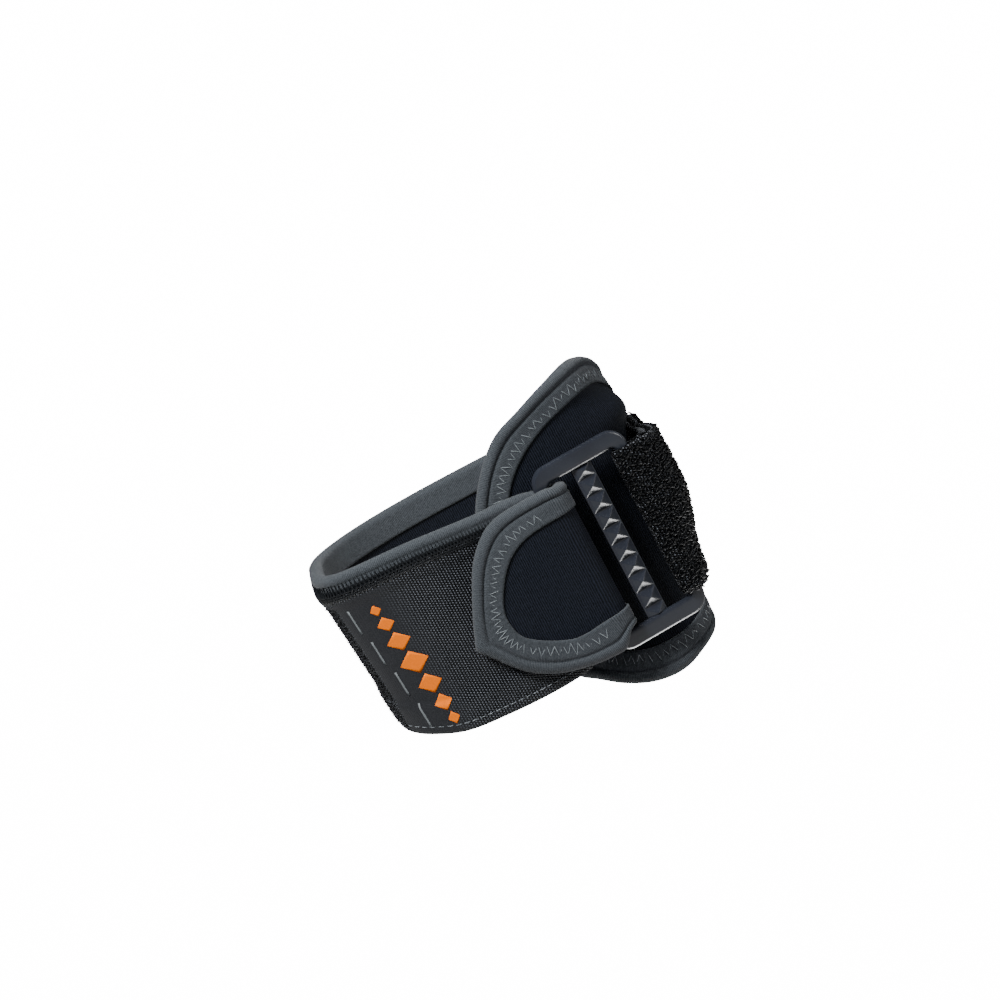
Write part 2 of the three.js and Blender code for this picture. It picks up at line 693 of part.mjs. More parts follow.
function studSolid(height) {
  const stud = new THREE.ConeGeometry(Math.SQRT1_2, 1, 4, 1);
  const tall = STUD_HEIGHT + STUD_SINK;
  stud.rotateY(Math.PI / 4);
  stud.rotateX(Math.PI);
  stud.scale(MIDDLE_BAR, tall, STUD_PITCH);
  const middle = (MIDDLE_BAR_START + MIDDLE_BAR_END) / 2;
  stud.translate(middle, STUD_SINK - STUD_SEAT - tall / 2, height);
  return solidOf(stud);
}

function buckleGeometry() {
  const recess = new THREE.BoxGeometry(MIDDLE_BAR + 2 * GAP, BUCKLE_THICKNESS, SLOT_LENGTH);
  const middle = (MIDDLE_BAR_START + MIDDLE_BAR_END) / 2;
  recess.translate(middle, -STUD_SEAT - BUCKLE_THICKNESS / 2, 0);
  let solid = buckleFrame().subtract(solidOf(recess));
  for (let i = 0; i < STUD_COUNT; i += 1) {
    const height = (i - (STUD_COUNT - 1) / 2) * STUD_PITCH + STUD_SHIFT;
    solid = solid.add(studSolid(height));
  }
  return geometryOf(solid);
}

// Materials
const jersey = { color: 0x17181c, roughness: 0.85, metalness: 0 };
const greyTape = { color: 0x4b5052, roughness: 0.8, metalness: 0 };
const loopFabric = { color: 0x121214, roughness: 0.95, metalness: 0 };
const blackPlastic = { color: 0x2a2b2d, roughness: 0.4, metalness: 0 };

function named(name, geometry, finish) {
  const mesh = new THREE.Mesh(geometry, new THREE.MeshStandardMaterial(finish));
  mesh.name = name;
  return mesh;
}

const elbowStrap = new THREE.Group();
elbowStrap.add(named("pad", coreGeometry(padRun, padLine, PAD_COLUMNS), jersey));
elbowStrap.add(named("pad_binding", tapeGeometry(padRun, padLine), greyTape));
elbowStrap.add(named("strap", coreGeometry(strapRun, strapLine, STRAP_COLUMNS), jersey));
elbowStrap.add(named("strap_binding", tapeGeometry(strapRun, strapLine), greyTape));
elbowStrap.add(named("strap_facing", facingGeometry(), loopFabric));
elbowStrap.add(named("hook_patch", hookGeometry(), loopFabric));
elbowStrap.add(named("keeper", keeperGeometry(), loopFabric));

const buckle = named("buckle", buckleGeometry(), blackPlastic);
buckle.position.set(bar.point.x, bar.point.y, BUCKLE_MIDDLE);
buckle.rotation.z = buckleRight.angle();
elbowStrap.add(buckle);

export default elbowStrap;
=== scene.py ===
import math

import bmesh
import bpy
import numpy as np
from mathutils import Matrix, Vector


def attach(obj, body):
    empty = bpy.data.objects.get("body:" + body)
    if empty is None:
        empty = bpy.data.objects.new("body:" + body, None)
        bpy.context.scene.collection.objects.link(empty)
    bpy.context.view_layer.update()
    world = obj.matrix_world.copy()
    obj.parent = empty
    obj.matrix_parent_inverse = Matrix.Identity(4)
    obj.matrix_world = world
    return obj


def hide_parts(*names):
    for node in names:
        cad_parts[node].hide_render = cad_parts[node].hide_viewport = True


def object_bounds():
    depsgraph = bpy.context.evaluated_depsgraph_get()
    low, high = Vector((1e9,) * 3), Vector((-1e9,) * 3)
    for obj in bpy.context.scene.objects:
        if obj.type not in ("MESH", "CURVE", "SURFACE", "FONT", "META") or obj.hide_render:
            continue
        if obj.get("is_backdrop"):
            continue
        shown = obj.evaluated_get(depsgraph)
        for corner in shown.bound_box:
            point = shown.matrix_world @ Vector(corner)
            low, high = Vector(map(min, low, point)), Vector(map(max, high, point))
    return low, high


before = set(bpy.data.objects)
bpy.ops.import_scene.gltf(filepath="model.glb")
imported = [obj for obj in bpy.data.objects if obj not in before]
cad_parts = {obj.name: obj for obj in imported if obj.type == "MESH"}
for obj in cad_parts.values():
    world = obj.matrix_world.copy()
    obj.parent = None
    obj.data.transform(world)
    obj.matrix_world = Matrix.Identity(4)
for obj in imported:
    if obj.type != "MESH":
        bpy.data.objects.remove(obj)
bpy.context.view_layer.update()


# Camera
# The lens looks at the buckle from a little above, and is rolled so that the opening's long axis leans
# to the upper left.
VIEW_TARGET = Vector((0.0091, -0.054, 0.030))
VIEW_DISTANCE = 1.25
VIEW_ELEVATION = math.radians(8.5)
VIEW_ROLL = math.radians(27.9)
SENSOR = 36.0
FRAME_WIDTH_AT_TARGET = 0.31
NEAREST_SEEN = 0.05


def placed(name, data):
    """A new object in the scene."""
    thing = bpy.data.objects.new(name, data)
    bpy.context.scene.collection.objects.link(thing)
    return thing


back = Vector((0, -math.cos(VIEW_ELEVATION), math.sin(VIEW_ELEVATION)))
across = Vector((1, 0, 0))
upward = back.cross(across)
view_right = across * math.cos(VIEW_ROLL) - upward * math.sin(VIEW_ROLL)
view_up = across * math.sin(VIEW_ROLL) + upward * math.cos(VIEW_ROLL)
lens = bpy.data.cameras.new("photo_lens")
lens.sensor_width = SENSOR
lens.lens = SENSOR * VIEW_DISTANCE / FRAME_WIDTH_AT_TARGET
lens.clip_start = NEAREST_SEEN
camera = placed("photo_camera", lens)
turn = Matrix((view_right, view_up, back)).transposed().to_4x4()
camera.matrix_world = Matrix.Translation(VIEW_TARGET + back * VIEW_DISTANCE) @ turn
bpy.context.scene.camera = camera


# Studio: softboxes, white surround and pale floor
# Softboxes at the upper left, above and at the right light the black fabric. The right one also shows in
# reflections, and the low one only there. The surround fills the folds, and the floor is white paper.
def softbox(name, place, aim, size, power, lights=True, mirrored=False):
    light = bpy.data.lights.new(name, "AREA")
    light.shape = "DISK"
    light.size = size
    light.energy = power
    holder = placed(name, light)
    holder.location = place
    holder.rotation_euler = (Vector(aim) - Vector(place)).to_track_quat("-Z", "Y").to_euler()
    holder.visible_diffuse = lights
    holder.visible_glossy = mirrored


def linear(hexcode):
    shares = [int(hexcode[i:i + 2], 16) / 255 for i in (1, 3, 5)]
    return [s / 12.92 if s <= 0.04045 else ((s + 0.055) / 1.055) ** 2.4 for s in shares] + [1.0]


def node(tree, kind, inputs=None, **settings):
    made = tree.nodes.new(kind)
    for name, value in settings.items():
        setattr(made, name, value)
    for key, value in (inputs or {}).items():
        if isinstance(value, bpy.types.NodeSocket):
            tree.links.new(value, made.inputs[key])
        else:
            made.inputs[key].default_value = value
    return made


def emptied(owner):
    """The node tree of a world or material, with nothing in it yet."""
    owner.use_nodes = True
    owner.node_tree.nodes.clear()
    return owner.node_tree


def ranged(tree, value, low, high, start=0.0, end=1.0):
    """The value's way from low to high, as a way from start to end."""
    return node(tree, "ShaderNodeMapRange", {"Value": value, "From Min": low, "From Max": high,
                                             "To Min": start, "To Max": end}).outputs[0]


def either(tree, share, plain, chosen):
    return node(tree, "ShaderNodeMixShader", {0: share, 1: plain, 2: chosen}).outputs[0]


softbox("key_softbox", place=(-0.35, -0.72, 0.95), aim=(0, -0.04, 0), size=0.4, power=46)
softbox("top_softbox", place=(0.25, -0.1, 1.1), aim=(0, -0.02, 0), size=0.5, power=12)
softbox("right_softbox", place=(0.95, -0.45, 0.35), aim=(0.03, -0.03, 0), size=0.35, power=5, mirrored=True)
softbox("low_softbox", place=(0.05, -0.06, -0.46), aim=(0.03, -0.06, 0), size=0.34, power=8, lights=False,
        mirrored=True)

PAPER_GLOW = 16.0
world = bpy.data.worlds.new("studio_surround")
bpy.context.scene.world = world
tree = emptied(world)
path = node(tree, "ShaderNodeLightPath").outputs
way = node(tree, "ShaderNodeTexCoord").outputs["Generated"]
way_height = node(tree, "ShaderNodeSeparateXYZ", {0: way}).outputs["Z"]
dim_overhead = ranged(tree, way_height, 0.85, 0.1, 0.04, 0.35)
glow = ranged(tree, path["Is Glossy Ray"], 0.0, 1.0, 0.22, dim_overhead)
fill = node(tree, "ShaderNodeBackground", {"Color": linear("#e9edf2"), "Strength": glow}).outputs[0]
paper = node(tree, "ShaderNodeBackground", {"Color": linear("#ffffff"), "Strength": PAPER_GLOW}).outputs[0]
node(tree, "ShaderNodeOutputWorld", {"Surface": either(tree, path["Is Camera Ray"], fill, paper)})

FLOOR_LEVEL = -0.5
FLOOR_HALF = 6.0
floor_mesh = bpy.data.meshes.new("pale_floor")
floor_corners = ((-1, -1), (1, -1), (1, 1), (-1, 1))
floor_mesh.from_pydata([(x * FLOOR_HALF, y * FLOOR_HALF, FLOOR_LEVEL) for x, y in floor_corners], [],
                       [(0, 1, 2, 3)])
floor = placed("pale_floor", floor_mesh)
floor_paint = bpy.data.materials.new("white paper sweep, rolled and lit from behind")
tree = emptied(floor_paint)
path = node(tree, "ShaderNodeLightPath").outputs
sweep_grain = node(tree, "ShaderNodeTexNoise", {"Scale": 3.0, "Detail": 2.0}).outputs["Fac"]
sweep_tone = ranged(tree, sweep_grain, 0.0, 1.0, PAPER_GLOW - 0.5, PAPER_GLOW + 0.5)
sweep = node(tree, "ShaderNodeEmission", {"Strength": sweep_tone}).outputs[0]
sweep_matt = node(tree, "ShaderNodeBsdfDiffuse", {"Color": linear("#7d8085")}).outputs[0]
sweep_sheen = node(tree, "ShaderNodeEmission", {"Strength": 0.9}).outputs[0]
unseen = either(tree, path["Is Glossy Ray"], sweep_matt, sweep_sheen)
node(tree, "ShaderNodeOutputMaterial", {"Surface": either(tree, path["Is Camera Ray"], unseen, sweep)})
floor_mesh.materials.append(floor_paint)
floor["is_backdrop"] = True


# Pad
# A wide sheet of 3.4 mm neoprene foam with black ribbed jersey laminated on both faces, die cut with two
# rounded lobes and bent round the front and right of the opening. Lengths here are in millimetres.
NEOPRENE = 3.4
TAPE = 0.5
TAPE_REACH = 8.5
GAP = 0.3
HALF = NEOPRENE / 2
BOUND_FACE = HALF + GAP + TAPE
BAND_LEVEL = BOUND_FACE
OPENING_WIDTH = 98
OPENING_DEPTH = 84
FRONT_SQUARENESS = 5.0
BACK_SQUARENESS = 2.4
TRAVEL_REACH = 1.5
BAND_TAPER = 0.0014
BAND_LEAN = 0.01
STRAIGHT_LEFT = -25
STRAIGHT_RIGHT = 50
TAPER_FADE = 25
PAD_TIP = -6.0
PAD_LENGTH = 124.0
PAD_MIDDLE = 4.8
PAD_HALF_HEIGHT = 51.5
SEAM = PAD_TIP + PAD_LENGTH
LOBE_START = 36
LOBE_FADE = 26
LOBE_LIFT = 3.5
LOBE_LIFT_PLACE = 20
LOBE_TUCK = 1.2
LOBE_TUCK_PLACE = 55
BULGE = 4.6
BULGE_PLACE = 60
BULGE_LENGTH = 14
BULGE_HEIGHT = 33.5
BULGE_TALL = 6.5
ROW_STEP = 1.4
COLUMNS = 56
EDGE_ROWS = [0.5, 1.1, 2.0, 3.0]
FULL_ROWS_START = 4.2
EDGE_ROUND = 1.3
THIN_EDGE = 0.33
PAD_EDGES = np.array([  # along, top, bottom, as shares of the length and half height
    (0.012, 0.2, -0.21), (0.036, 0.39, -0.42), (0.055, 0.49, -0.54), (0.086, 0.606, -0.726),
    (0.123, 0.715, -0.8), (0.178, 0.827, -0.9), (0.248, 0.895, -0.975), (0.321, 0.959, -0.998),
    (0.394, 0.996, -0.96), (0.452, 1, -0.93), (0.532, 0.965, -0.87), (0.629, 0.86, -0.77),
    (0.726, 0.72, -0.65), (0.815, 0.605, -0.56), (0.903, 0.53, -0.51), (1, 0.51, -0.5)])


def smoothstep(value, low, high):
    share = np.clip((np.asarray(value, float) - low) / (high - low), 0, 1)
    return share * share * (3 - 2 * share)


def unit(vectors):
    return vectors / np.linalg.norm(vectors, axis=-1, keepdims=True)


def distances(points):
    return np.concatenate([[0], np.cumsum(np.linalg.norm(np.diff(points, axis=0), axis=1))])


def oval_opening():
    angle = np.linspace(-0.5, 1.5, 721) * np.pi
    power = np.where(np.sin(angle) < 0, FRONT_SQUARENESS, BACK_SQUARENESS)
    reach = (np.abs(2 * np.cos(angle) / OPENING_WIDTH) ** power
             + np.abs(2 * np.sin(angle) / OPENING_DEPTH) ** power)
    outline = np.stack([np.cos(angle), np.sin(angle)], 1) * (reach ** (-1 / power))[:, None]
    return distances(outline), outline


OPENING_ROUND, OPENING = oval_opening()
GIRTH = OPENING_ROUND[-1]


def on_line(at, gone, line):
    """Points at distances along a line of points, whose own distances are given."""
    return np.stack([np.interp(at, gone, column) for column in line.T], -1)


def on_opening(around):
    return on_line(np.mod(around, GIRTH), OPENING_ROUND, OPENING)


def band_stations(around, level):
    """Points, outward normals and taper of a band round the opening, at a level above it."""
    around = np.asarray(around, float)
    travel = unit(on_opening(around + TRAVEL_REACH) - on_opening(around - TRAVEL_REACH))
    normal = np.stack([travel[:, 1], -travel[:, 0]], 1)
    signed = np.where(around > GIRTH / 2, around - GIRTH, around)
    taper = smoothstep(np.maximum(STRAIGHT_LEFT - signed, signed - STRAIGHT_RIGHT), 0, TAPER_FADE)
    return on_opening(around) + normal * np.reshape(level, (-1, 1)), normal, taper


class Run:
    """The way a sheet's middle surface takes round the opening, seen along its axis."""

    def __init__(self, stations, rise=None):
        self.points, self.normals, self.taper = stations
        self.rise = rise
        self.stops = distances(self.points)

    def place(self, along, height, out):
        along, height, out = np.broadcast_arrays(*(np.asarray(v, float) for v in (along, height, out)))
        pick = [np.interp(along, self.stops, column) for column in
                (*self.points.T, *self.normals.T, self.taper)]
        lifted = out + (self.rise(along, height) if self.rise else 0)
        felt = pick[4] * height
        wide = 1 + BAND_TAPER * felt
        x = (pick[0] + pick[2] * lifted) * wide - BAND_LEAN * felt
        return np.stack([x, (pick[1] + pick[3] * lifted) * wide, height], -1)


def edge_line(corners):
    """A smooth line through the corners, as points about 1 mm apart."""
    points = np.array(corners, float)
    guides = np.vstack([2 * points[0] - points[1], points, 2 * points[-1] - points[-2]])
    gaps = np.sqrt(np.linalg.norm(np.diff(guides, axis=0), axis=1))
    share = np.linspace(0, 1, 60, endpoint=False)[:, None]
    bends = []
    for i in range(1, len(guides) - 2):
        before, start, end, after = guides[i - 1:i + 3]
        d0, d1, d2 = gaps[i - 1:i + 2]
        leave = ((start - before) / d0 - (end - before) / (d0 + d1) + (end - start) / d1) * d1
        arrive = ((end - start) / d1 - (after - start) / (d1 + d2) + (after - end) / d2) * d1
        bends.append(start + leave * share + (3 * (end - start) - 2 * leave - arrive) * share ** 2
                     + (2 * (start - end) + leave + arrive) * share ** 3)
    line = np.vstack([*bends, points[-1:]])
    gone = distances(line)
    return on_line(np.linspace(0, gone[-1], math.ceil(gone[-1]) + 1), gone, line)


def inset(line, distance):
    ahead = np.vstack([line[1:], line[-1:]])
    behind = np.vstack([line[:1], line[:-1]])
    travel = unit(ahead - behind)
    return line + np.stack([-travel[:, 1], travel[:, 0]], 1) * distance


def softened(line, reach):
    place = np.arange(len(line))
    count = np.minimum(reach, np.minimum(place, len(line) - 1 - place))
    total = np.vstack([[0, 0], np.cumsum(line, axis=0)])
    return (total[place + count + 1] - total[place - count]) / (2 * count + 1)[:, None]


def span(line, along):
    """The sheet's lowest and highest height at each place along it."""
    tip = int(np.argmax(np.abs(line[:, 0] - line[0, 0])))
    sides = []
    for branch in (line[:tip + 1], line[tip:]):
        ordered = branch[np.argsort(branch[:, 0])]
        sides.append(np.interp(along, ordered[:, 0], ordered[:, 1]))
    return np.minimum(*sides), np.maximum(*sides)


def fanned(low, high, count):
    """A row of heights from low to high at each place."""
    return low[:, None] + (high - low)[:, None] * np.linspace(0, 1, count)[None, :]


def wrapped(outer, inner):
    """Rings that go over a sheet's outer face and come back over its inner one."""
    return np.concatenate([outer, inner[:, ::-1]], 1)


def quads_between(rows, size, columns, start=0):
    """Quads from row to row of points, for the first columns of each row."""
    turn = ((0, 0), (0, 1), (1, 1), (1, 0))
    return [tuple(start + (r + down) * size + (k + on) % size for down, on in turn)
            for r in range(rows - 1) for k in range(columns)]


def skin(rings):
    """Quads round and along rings of points, with both end rings closed across the sheet."""
    count, size = rings.shape[:2]
    quads = quads_between(count, size, size)
    end = (count - 1) * size
    for k in range(size // 2 - 1):
        quads.append((k, size - 1 - k, size - 2 - k, k + 1))
        quads.append((end + k, end + k + 1, end + size - 2 - k, end + size - 1 - k))
    return quads


def made(name, points, faces, flat, material, edges=()):
    """A piece from millimetre points, with its flat pattern place kept as an attribute in millimetres."""
    mesh = bpy.data.meshes.new(name)
    mesh.from_pydata((np.asarray(points).reshape(-1, 3) / 1000).tolist(), list(edges), faces)
    pattern = mesh.attributes.new("flat", "FLOAT_VECTOR", "POINT")
    pattern.data.foreach_set("vector", np.asarray(flat, float).reshape(-1))
    if faces:
        shell = bmesh.new()
        shell.from_mesh(mesh)
        bmesh.ops.recalc_face_normals(shell, faces=shell.faces)
        shell.to_mesh(mesh)
        shell.free()
        mesh.shade_smooth()
    mesh.materials.append(material)
    return placed(name, mesh)


def sheet(name, rings, flat, material, flat_back=None):
    return made(name, rings, skin(rings), wrapped(flat, flat if flat_back is None else flat_back), material)


def core(name, run, line, material):
    """Foam sheet inside its tape: thinned at the edge, full behind it."""
    rim = inset(softened(line, 2), TAPE + 2 * GAP)
    reaches = rim[:, 0]
    inward = 1 if rim[0, 0] > (reaches.min() + reaches.max()) / 2 else -1
    tip = reaches.min() if inward > 0 else reaches.max()
    whole = np.ptp(reaches)
    depth = np.concatenate([EDGE_ROWS, np.arange(FULL_ROWS_START, whole, ROW_STEP), [whole]])
    along = tip + inward * depth
    low, high = span(rim, along)
    height = fanned(low, high, COLUMNS)
    near = np.minimum(np.minimum(height - low[:, None], high[:, None] - height), depth[:, None])
    level = HALF * np.clip(near / EDGE_ROUND, THIN_EDGE, 1)
    rows = np.broadcast_to(along[:, None], height.shape)
    rings = wrapped(run.place(rows, height, level), run.place(rows, height, -level))
    flat = np.stack([rows, height, level], -1)
    return sheet(name, rings, flat, material, flat * [1, 1, -1])


def new_material(name):
    material = bpy.data.materials.new(name)
    return material, emptied(material)


def flat_place(tree):
    """Where a spot lies on the flat pattern, in millimetres."""
    return node(tree, "ShaderNodeAttribute", attribute_name="flat").outputs["Vector"]


def axes(tree, place):
    return node(tree, "ShaderNodeSeparateXYZ", {0: place}).outputs


def noise(tree, place, scale, detail=2.0, roughness=0.5):
    return node(tree, "ShaderNodeTexNoise", {"Vector": place, "Scale": scale, "Detail": detail,
                                             "Roughness": roughness}).outputs["Fac"]


def worked(tree, operation, *values):
    return node(tree, "ShaderNodeMath", dict(enumerate(values)), operation=operation).outputs[0]


def wave(tree, value, pitch):
    """A sine of the value that repeats at the pitch."""
    return worked(tree, "SINE", worked(tree, "MULTIPLY", value, 2 * math.pi / pitch))


def mixed(tree, share, dark, light):
    dark, light = (linear(tone) if isinstance(tone, str) else tone for tone in (dark, light))
    return node(tree, "ShaderNodeMix", {"Factor": share, "A": dark, "B": light},
                data_type="RGBA").outputs["Result"]


def finished(tree, colour, roughness, relief, strength, distance, more=None):
    """A Principled shader with a bump from the relief, joined to the material's output."""
    bump = node(tree, "ShaderNodeBump", {"Height": relief, "Strength": strength, "Distance": distance})
    inputs = {"Base Color": colour, "Roughness": roughness, "Normal": bump.outputs[0]}
    cover = node(tree, "ShaderNodeBsdfPrincipled", {**inputs, **(more or {})})
    node(tree, "ShaderNodeOutputMaterial", {"Surface": cover.outputs[0]})


# Jersey knit: fine ribs up the sheet catch the light as thin dark blue lines on near black, so the
# sheet reads as cloth and not as rubber. Part of that light is painted: the colour is made lighter where
# the ribs rise, a painted highlight, besides their bump.
jersey, tree = new_material("ribbed polyester jersey, knitted and flame laminated")
place = flat_place(tree)
drift = worked(tree, "MULTIPLY_ADD", noise(tree, place, 0.35), 0.5, axes(tree, place)["X"])
knit = noise(tree, place, 2.6, 3.0)
relief = worked(tree, "MULTIPLY_ADD", wave(tree, drift, 0.72), 0.35, knit)
colour = mixed(tree, ranged(tree, relief, 0.1, 0.95), "#030405", "#1a1d25")
finished(tree, colour, ranged(tree, knit, 0.0, 1.0, 0.6, 0.85), relief, strength=0.8, distance=0.00016,
         more={"Specular IOR Level": 0.07})

pad_rounds = np.linspace(PAD_TIP, SEAM - GAP / 2, 95)
pad_stations = band_stations(pad_rounds, BAND_LEVEL)
pad_scale = distances(pad_stations[0])[-1] / (PAD_LENGTH - GAP / 2)


def lobe_rise(along, height):
    """How far the lobes stand off or lie close, and the bulge beside the keeper."""
    around = PAD_TIP + along / pad_scale
    beyond = np.abs(height - PAD_MIDDLE) - LOBE_START
    edge = np.clip(beyond / (PAD_HALF_HEIGHT - LOBE_START), 0, None) ** 2
    lift = LOBE_LIFT * (1 - smoothstep(np.abs(around - LOBE_LIFT_PLACE), 0, LOBE_FADE))
    tuck = LOBE_TUCK * (1 - smoothstep(np.abs(around - LOBE_TUCK_PLACE), 0, LOBE_FADE))
    pulled = np.exp(-((around - BULGE_PLACE) / BULGE_LENGTH) ** 2
                    - ((height - BULGE_HEIGHT) / BULGE_TALL) ** 2)
    return edge * (lift - tuck) + BULGE * pulled


pad_run = Run(pad_stations, lobe_rise)
pad_end = pad_run.stops[-1]
pad_line = edge_line(
    [(a * pad_end, PAD_MIDDLE + PAD_HALF_HEIGHT * t) for a, t, _ in PAD_EDGES[::-1]]
    + [(0, PAD_MIDDLE)]
    + [(a * pad_end, PAD_MIDDLE + PAD_HALF_HEIGHT * b) for a, _, b in PAD_EDGES])
pad = core("pad_sheet", pad_run, pad_line, jersey)
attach(pad, "root")
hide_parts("pad")


# Tape round the pad
# Grey polyester stretch tape, folded over the cut edge into a soft roll and sewn flat behind it, where
# the seam draws it into small puckers. Its flat width is 20 mm.
ROLL = 0.25
STITCH_PITCH = 3.3
CORNER_WINDOW = 16


def bound_tape(name, run, line, material, roll, pucker, seed):
    """U section carried along the edge: roll and pucker give each place's bulge on (outer, inner) face."""
    end = inset(softened(line, CORNER_WINDOW), TAPE_REACH)
    half = np.array([  # depth from the edge, level below the bound face, roll, pucker
        (0.3, -1.1, 0.1, 0), (0.9, -0.35, 0.6, 0), (1.9, 0, 1, 0), (2.7, 0, 0.6, 0), (3.05, 0, -0.8, 0),
        (3.35, 0, -2.6, 0), (3.7, 0, -0.9, 0.1), (4.2, 0, 0, 0.5), (5.0, 0, 0, 0.9), (6.2, 0, 0, 1),
        (7.4, 0, 0, 1), (8.5, 0, 0, 0.7), (9.1, 0, 0, 0.4), (9.25, -0.3, 0, 0)])
    reach, level, shape, sewn = np.vstack([half[::-1], [(0, 0, 0, 0)], half]).T
    side = np.repeat([-1, 0, 1], [len(half), 1, len(half)])
    gone = distances(line)
    rng = np.random.default_rng(seed)
    knots = np.arange(0, gone[-1] + 2 * STITCH_PITCH, STITCH_PITCH)
    beat = np.interp(gone, knots, rng.uniform(0.3, 1, int(gone[-1] / STITCH_PITCH) + 4)[:len(knots)])
    wavy = beat * np.sin(2 * np.pi * gone / STITCH_PITCH)
    facing_side = np.where(side[None, :] > 0, roll[:, :1], roll[:, 1:])
    lift = level[None, :] + ROLL * shape[None, :] * facing_side
    lift = lift + sewn[None, :] * wavy[:, None] * pucker[:, None] * facing_side
    out = np.where(side == 0, 0, side * (BOUND_FACE + lift))
    inner = np.where(side == 0, 0, side * (BOUND_FACE + np.minimum(lift, 0) - TAPE))
    outside, inside = (line[:, None, :] + (end - line)[:, None, :] * (depth / TAPE_REACH)[None, :, None]
                       for depth in (reach, np.maximum(reach, TAPE)))
    rings = wrapped(run.place(outside[..., 0], outside[..., 1], out),
                    run.place(inside[..., 0], inside[..., 1], inner))
    flat = np.stack([np.broadcast_to(gone[:, None], out.shape), np.broadcast_to(reach * side, out.shape),
                     out], -1)
    return sheet(name, rings, flat, material)


# Tape knit: short loops seen end on give a fine speckle with faint ribs across the tape, so it reads
# lighter and drier than the jersey.
tape, tree = new_material("grey polyester stretch tape, warp knitted and brushed")
place = flat_place(tree)
speckle = noise(tree, place, 3.4, 4.0, 0.7)
relief = worked(tree, "MULTIPLY_ADD", wave(tree, axes(tree, place)["X"], 0.55), 0.12, speckle)
colour = mixed(tree, ranged(tree, relief, 0.25, 0.8), "#131619", "#43474b")
finished(tree, colour, 0.9, relief, strength=0.9, distance=0.0002,
         more={"Specular IOR Level": 0.15, "Sheen Weight": 0.06, "Sheen Roughness": 0.5})

pad_roll = np.tile([1.0, 0.0], (len(pad_line), 1))
pad_pucker = 0.16 + 0.2 * smoothstep(np.arange(len(pad_line)) / len(pad_line), 0.5, 0.7)
pad_tape = bound_tape("pad_tape", pad_run, pad_line, tape, pad_roll, pad_pucker, seed=3)
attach(pad_tape, "root")
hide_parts("pad_binding")


# Zigzag stitches on the tapes
# Light grey polyester thread in a zigzag near the tape's inner edge. It is one continuous thread that
# crosses back and forth, half sunk in the tape.
STITCH_NEAR = 5.1
STITCH_FAR = 7.9
STITCH_UNEVEN = 0.28
STITCH_THREAD = 0.12
STITCH_SUNK = (-0.2, 0.06)
STITCH_LEVEL = BOUND_FACE - 0.04
STITCH_ARCH = 0.17


def new_tree(name, asked):
    """A Geometry Nodes tree that is handed a geometry and the values asked for, and hands one back."""
    tree = bpy.data.node_groups.new(name, "GeometryNodeTree")
    for label, kind in {"Geometry": "NodeSocketGeometry", **asked}.items():
        tree.interface.new_socket(label, in_out="INPUT", socket_type=kind)
    tree.interface.new_socket("Geometry", in_out="OUTPUT", socket_type="NodeSocketGeometry")
    return tree, node(tree, "NodeGroupInput").outputs


def tube(tree, curve, radius, sides, caps=False):
    ring = node(tree, "GeometryNodeCurvePrimitiveCircle", {"Resolution": sides, "Radius": radius})
    return node(tree, "GeometryNodeCurveToMesh", {"Curve": curve, "Profile Curve": ring.outputs[0],
                                                  "Fill Caps": caps}).outputs[0]


def handed_back(tree, geometry, material):
    real = node(tree, "GeometryNodeRealizeInstances", {"Geometry": geometry})
    dyed = node(tree, "GeometryNodeSetMaterial", {"Geometry": real.outputs[0], "Material": material})
    node(tree, "NodeGroupOutput", {"Geometry": dyed.outputs[0]})
    return tree


def thread_tree():
    tree, given = new_tree("sewn thread along its path", {"Thread radius": "NodeSocketFloat",
                                                          "Thread": "NodeSocketMaterial"})
    way = node(tree, "GeometryNodeMeshToCurve", {"Mesh": given["Geometry"]}).outputs[0]
    return handed_back(tree, tube(tree, way, given["Thread radius"], sides=5, caps=True), given["Thread"])


THREAD_TREE = thread_tree()


def grown(piece, tree, values):
    """The piece's mesh replaced by what the tree makes from it, as plain mesh."""
    modifier = piece.modifiers.new("grown", "NODES")
    modifier.node_group = tree
    for item in tree.interface.items_tree:
        if item.in_out == "INPUT" and item.name in values:
            modifier[item.identifier] = values[item.name]
    bpy.context.view_layer.update()
    ready = piece.evaluated_get(bpy.context.evaluated_depsgraph_get())
    mesh = bpy.data.meshes.new_from_object(ready)
    piece.modifiers.remove(modifier)
    piece.data = mesh
    mesh.shade_smooth()
    return piece


def threads(name, paths, radius, material):
    points = np.concatenate(paths)
    starts = np.cumsum([0] + [len(p) for p in paths])
    edges = [(int(s + i), int(s + i + 1)) for s, p in zip(starts, paths) for i in range(len(p) - 1)]
    piece = made(name, points, [], np.zeros_like(points), material, edges)
    return grown(piece, THREAD_TREE, {"Thread radius": radius / 1000, "Thread": material})


def own_place(tree):
    return node(tree, "ShaderNodeTexCoord").outputs["Object"]


def grained(name, dark, light, roughness, scale=1800.0, strength=0.5, distance=0.00008, specular=0.5,
            place=own_place):
    """A material whose tones and fine bump both come from one noise."""
    material, tree = new_material(name)
    grain = noise(tree, place(tree), scale)
    finished(tree, mixed(tree, grain, dark, light), roughness, grain, strength, distance,
             {"Specular IOR Level": specular})
    return material


# Thread: two twisted plies of bright filament, which glints where a stitch rises and darkens where it
# dips, so each stitch shows apart.
thread = grained("light grey polyester thread, twisted from two plies", "#3a3f42", "#7a8084", 0.5,
                 scale=2200.0, strength=0.6)


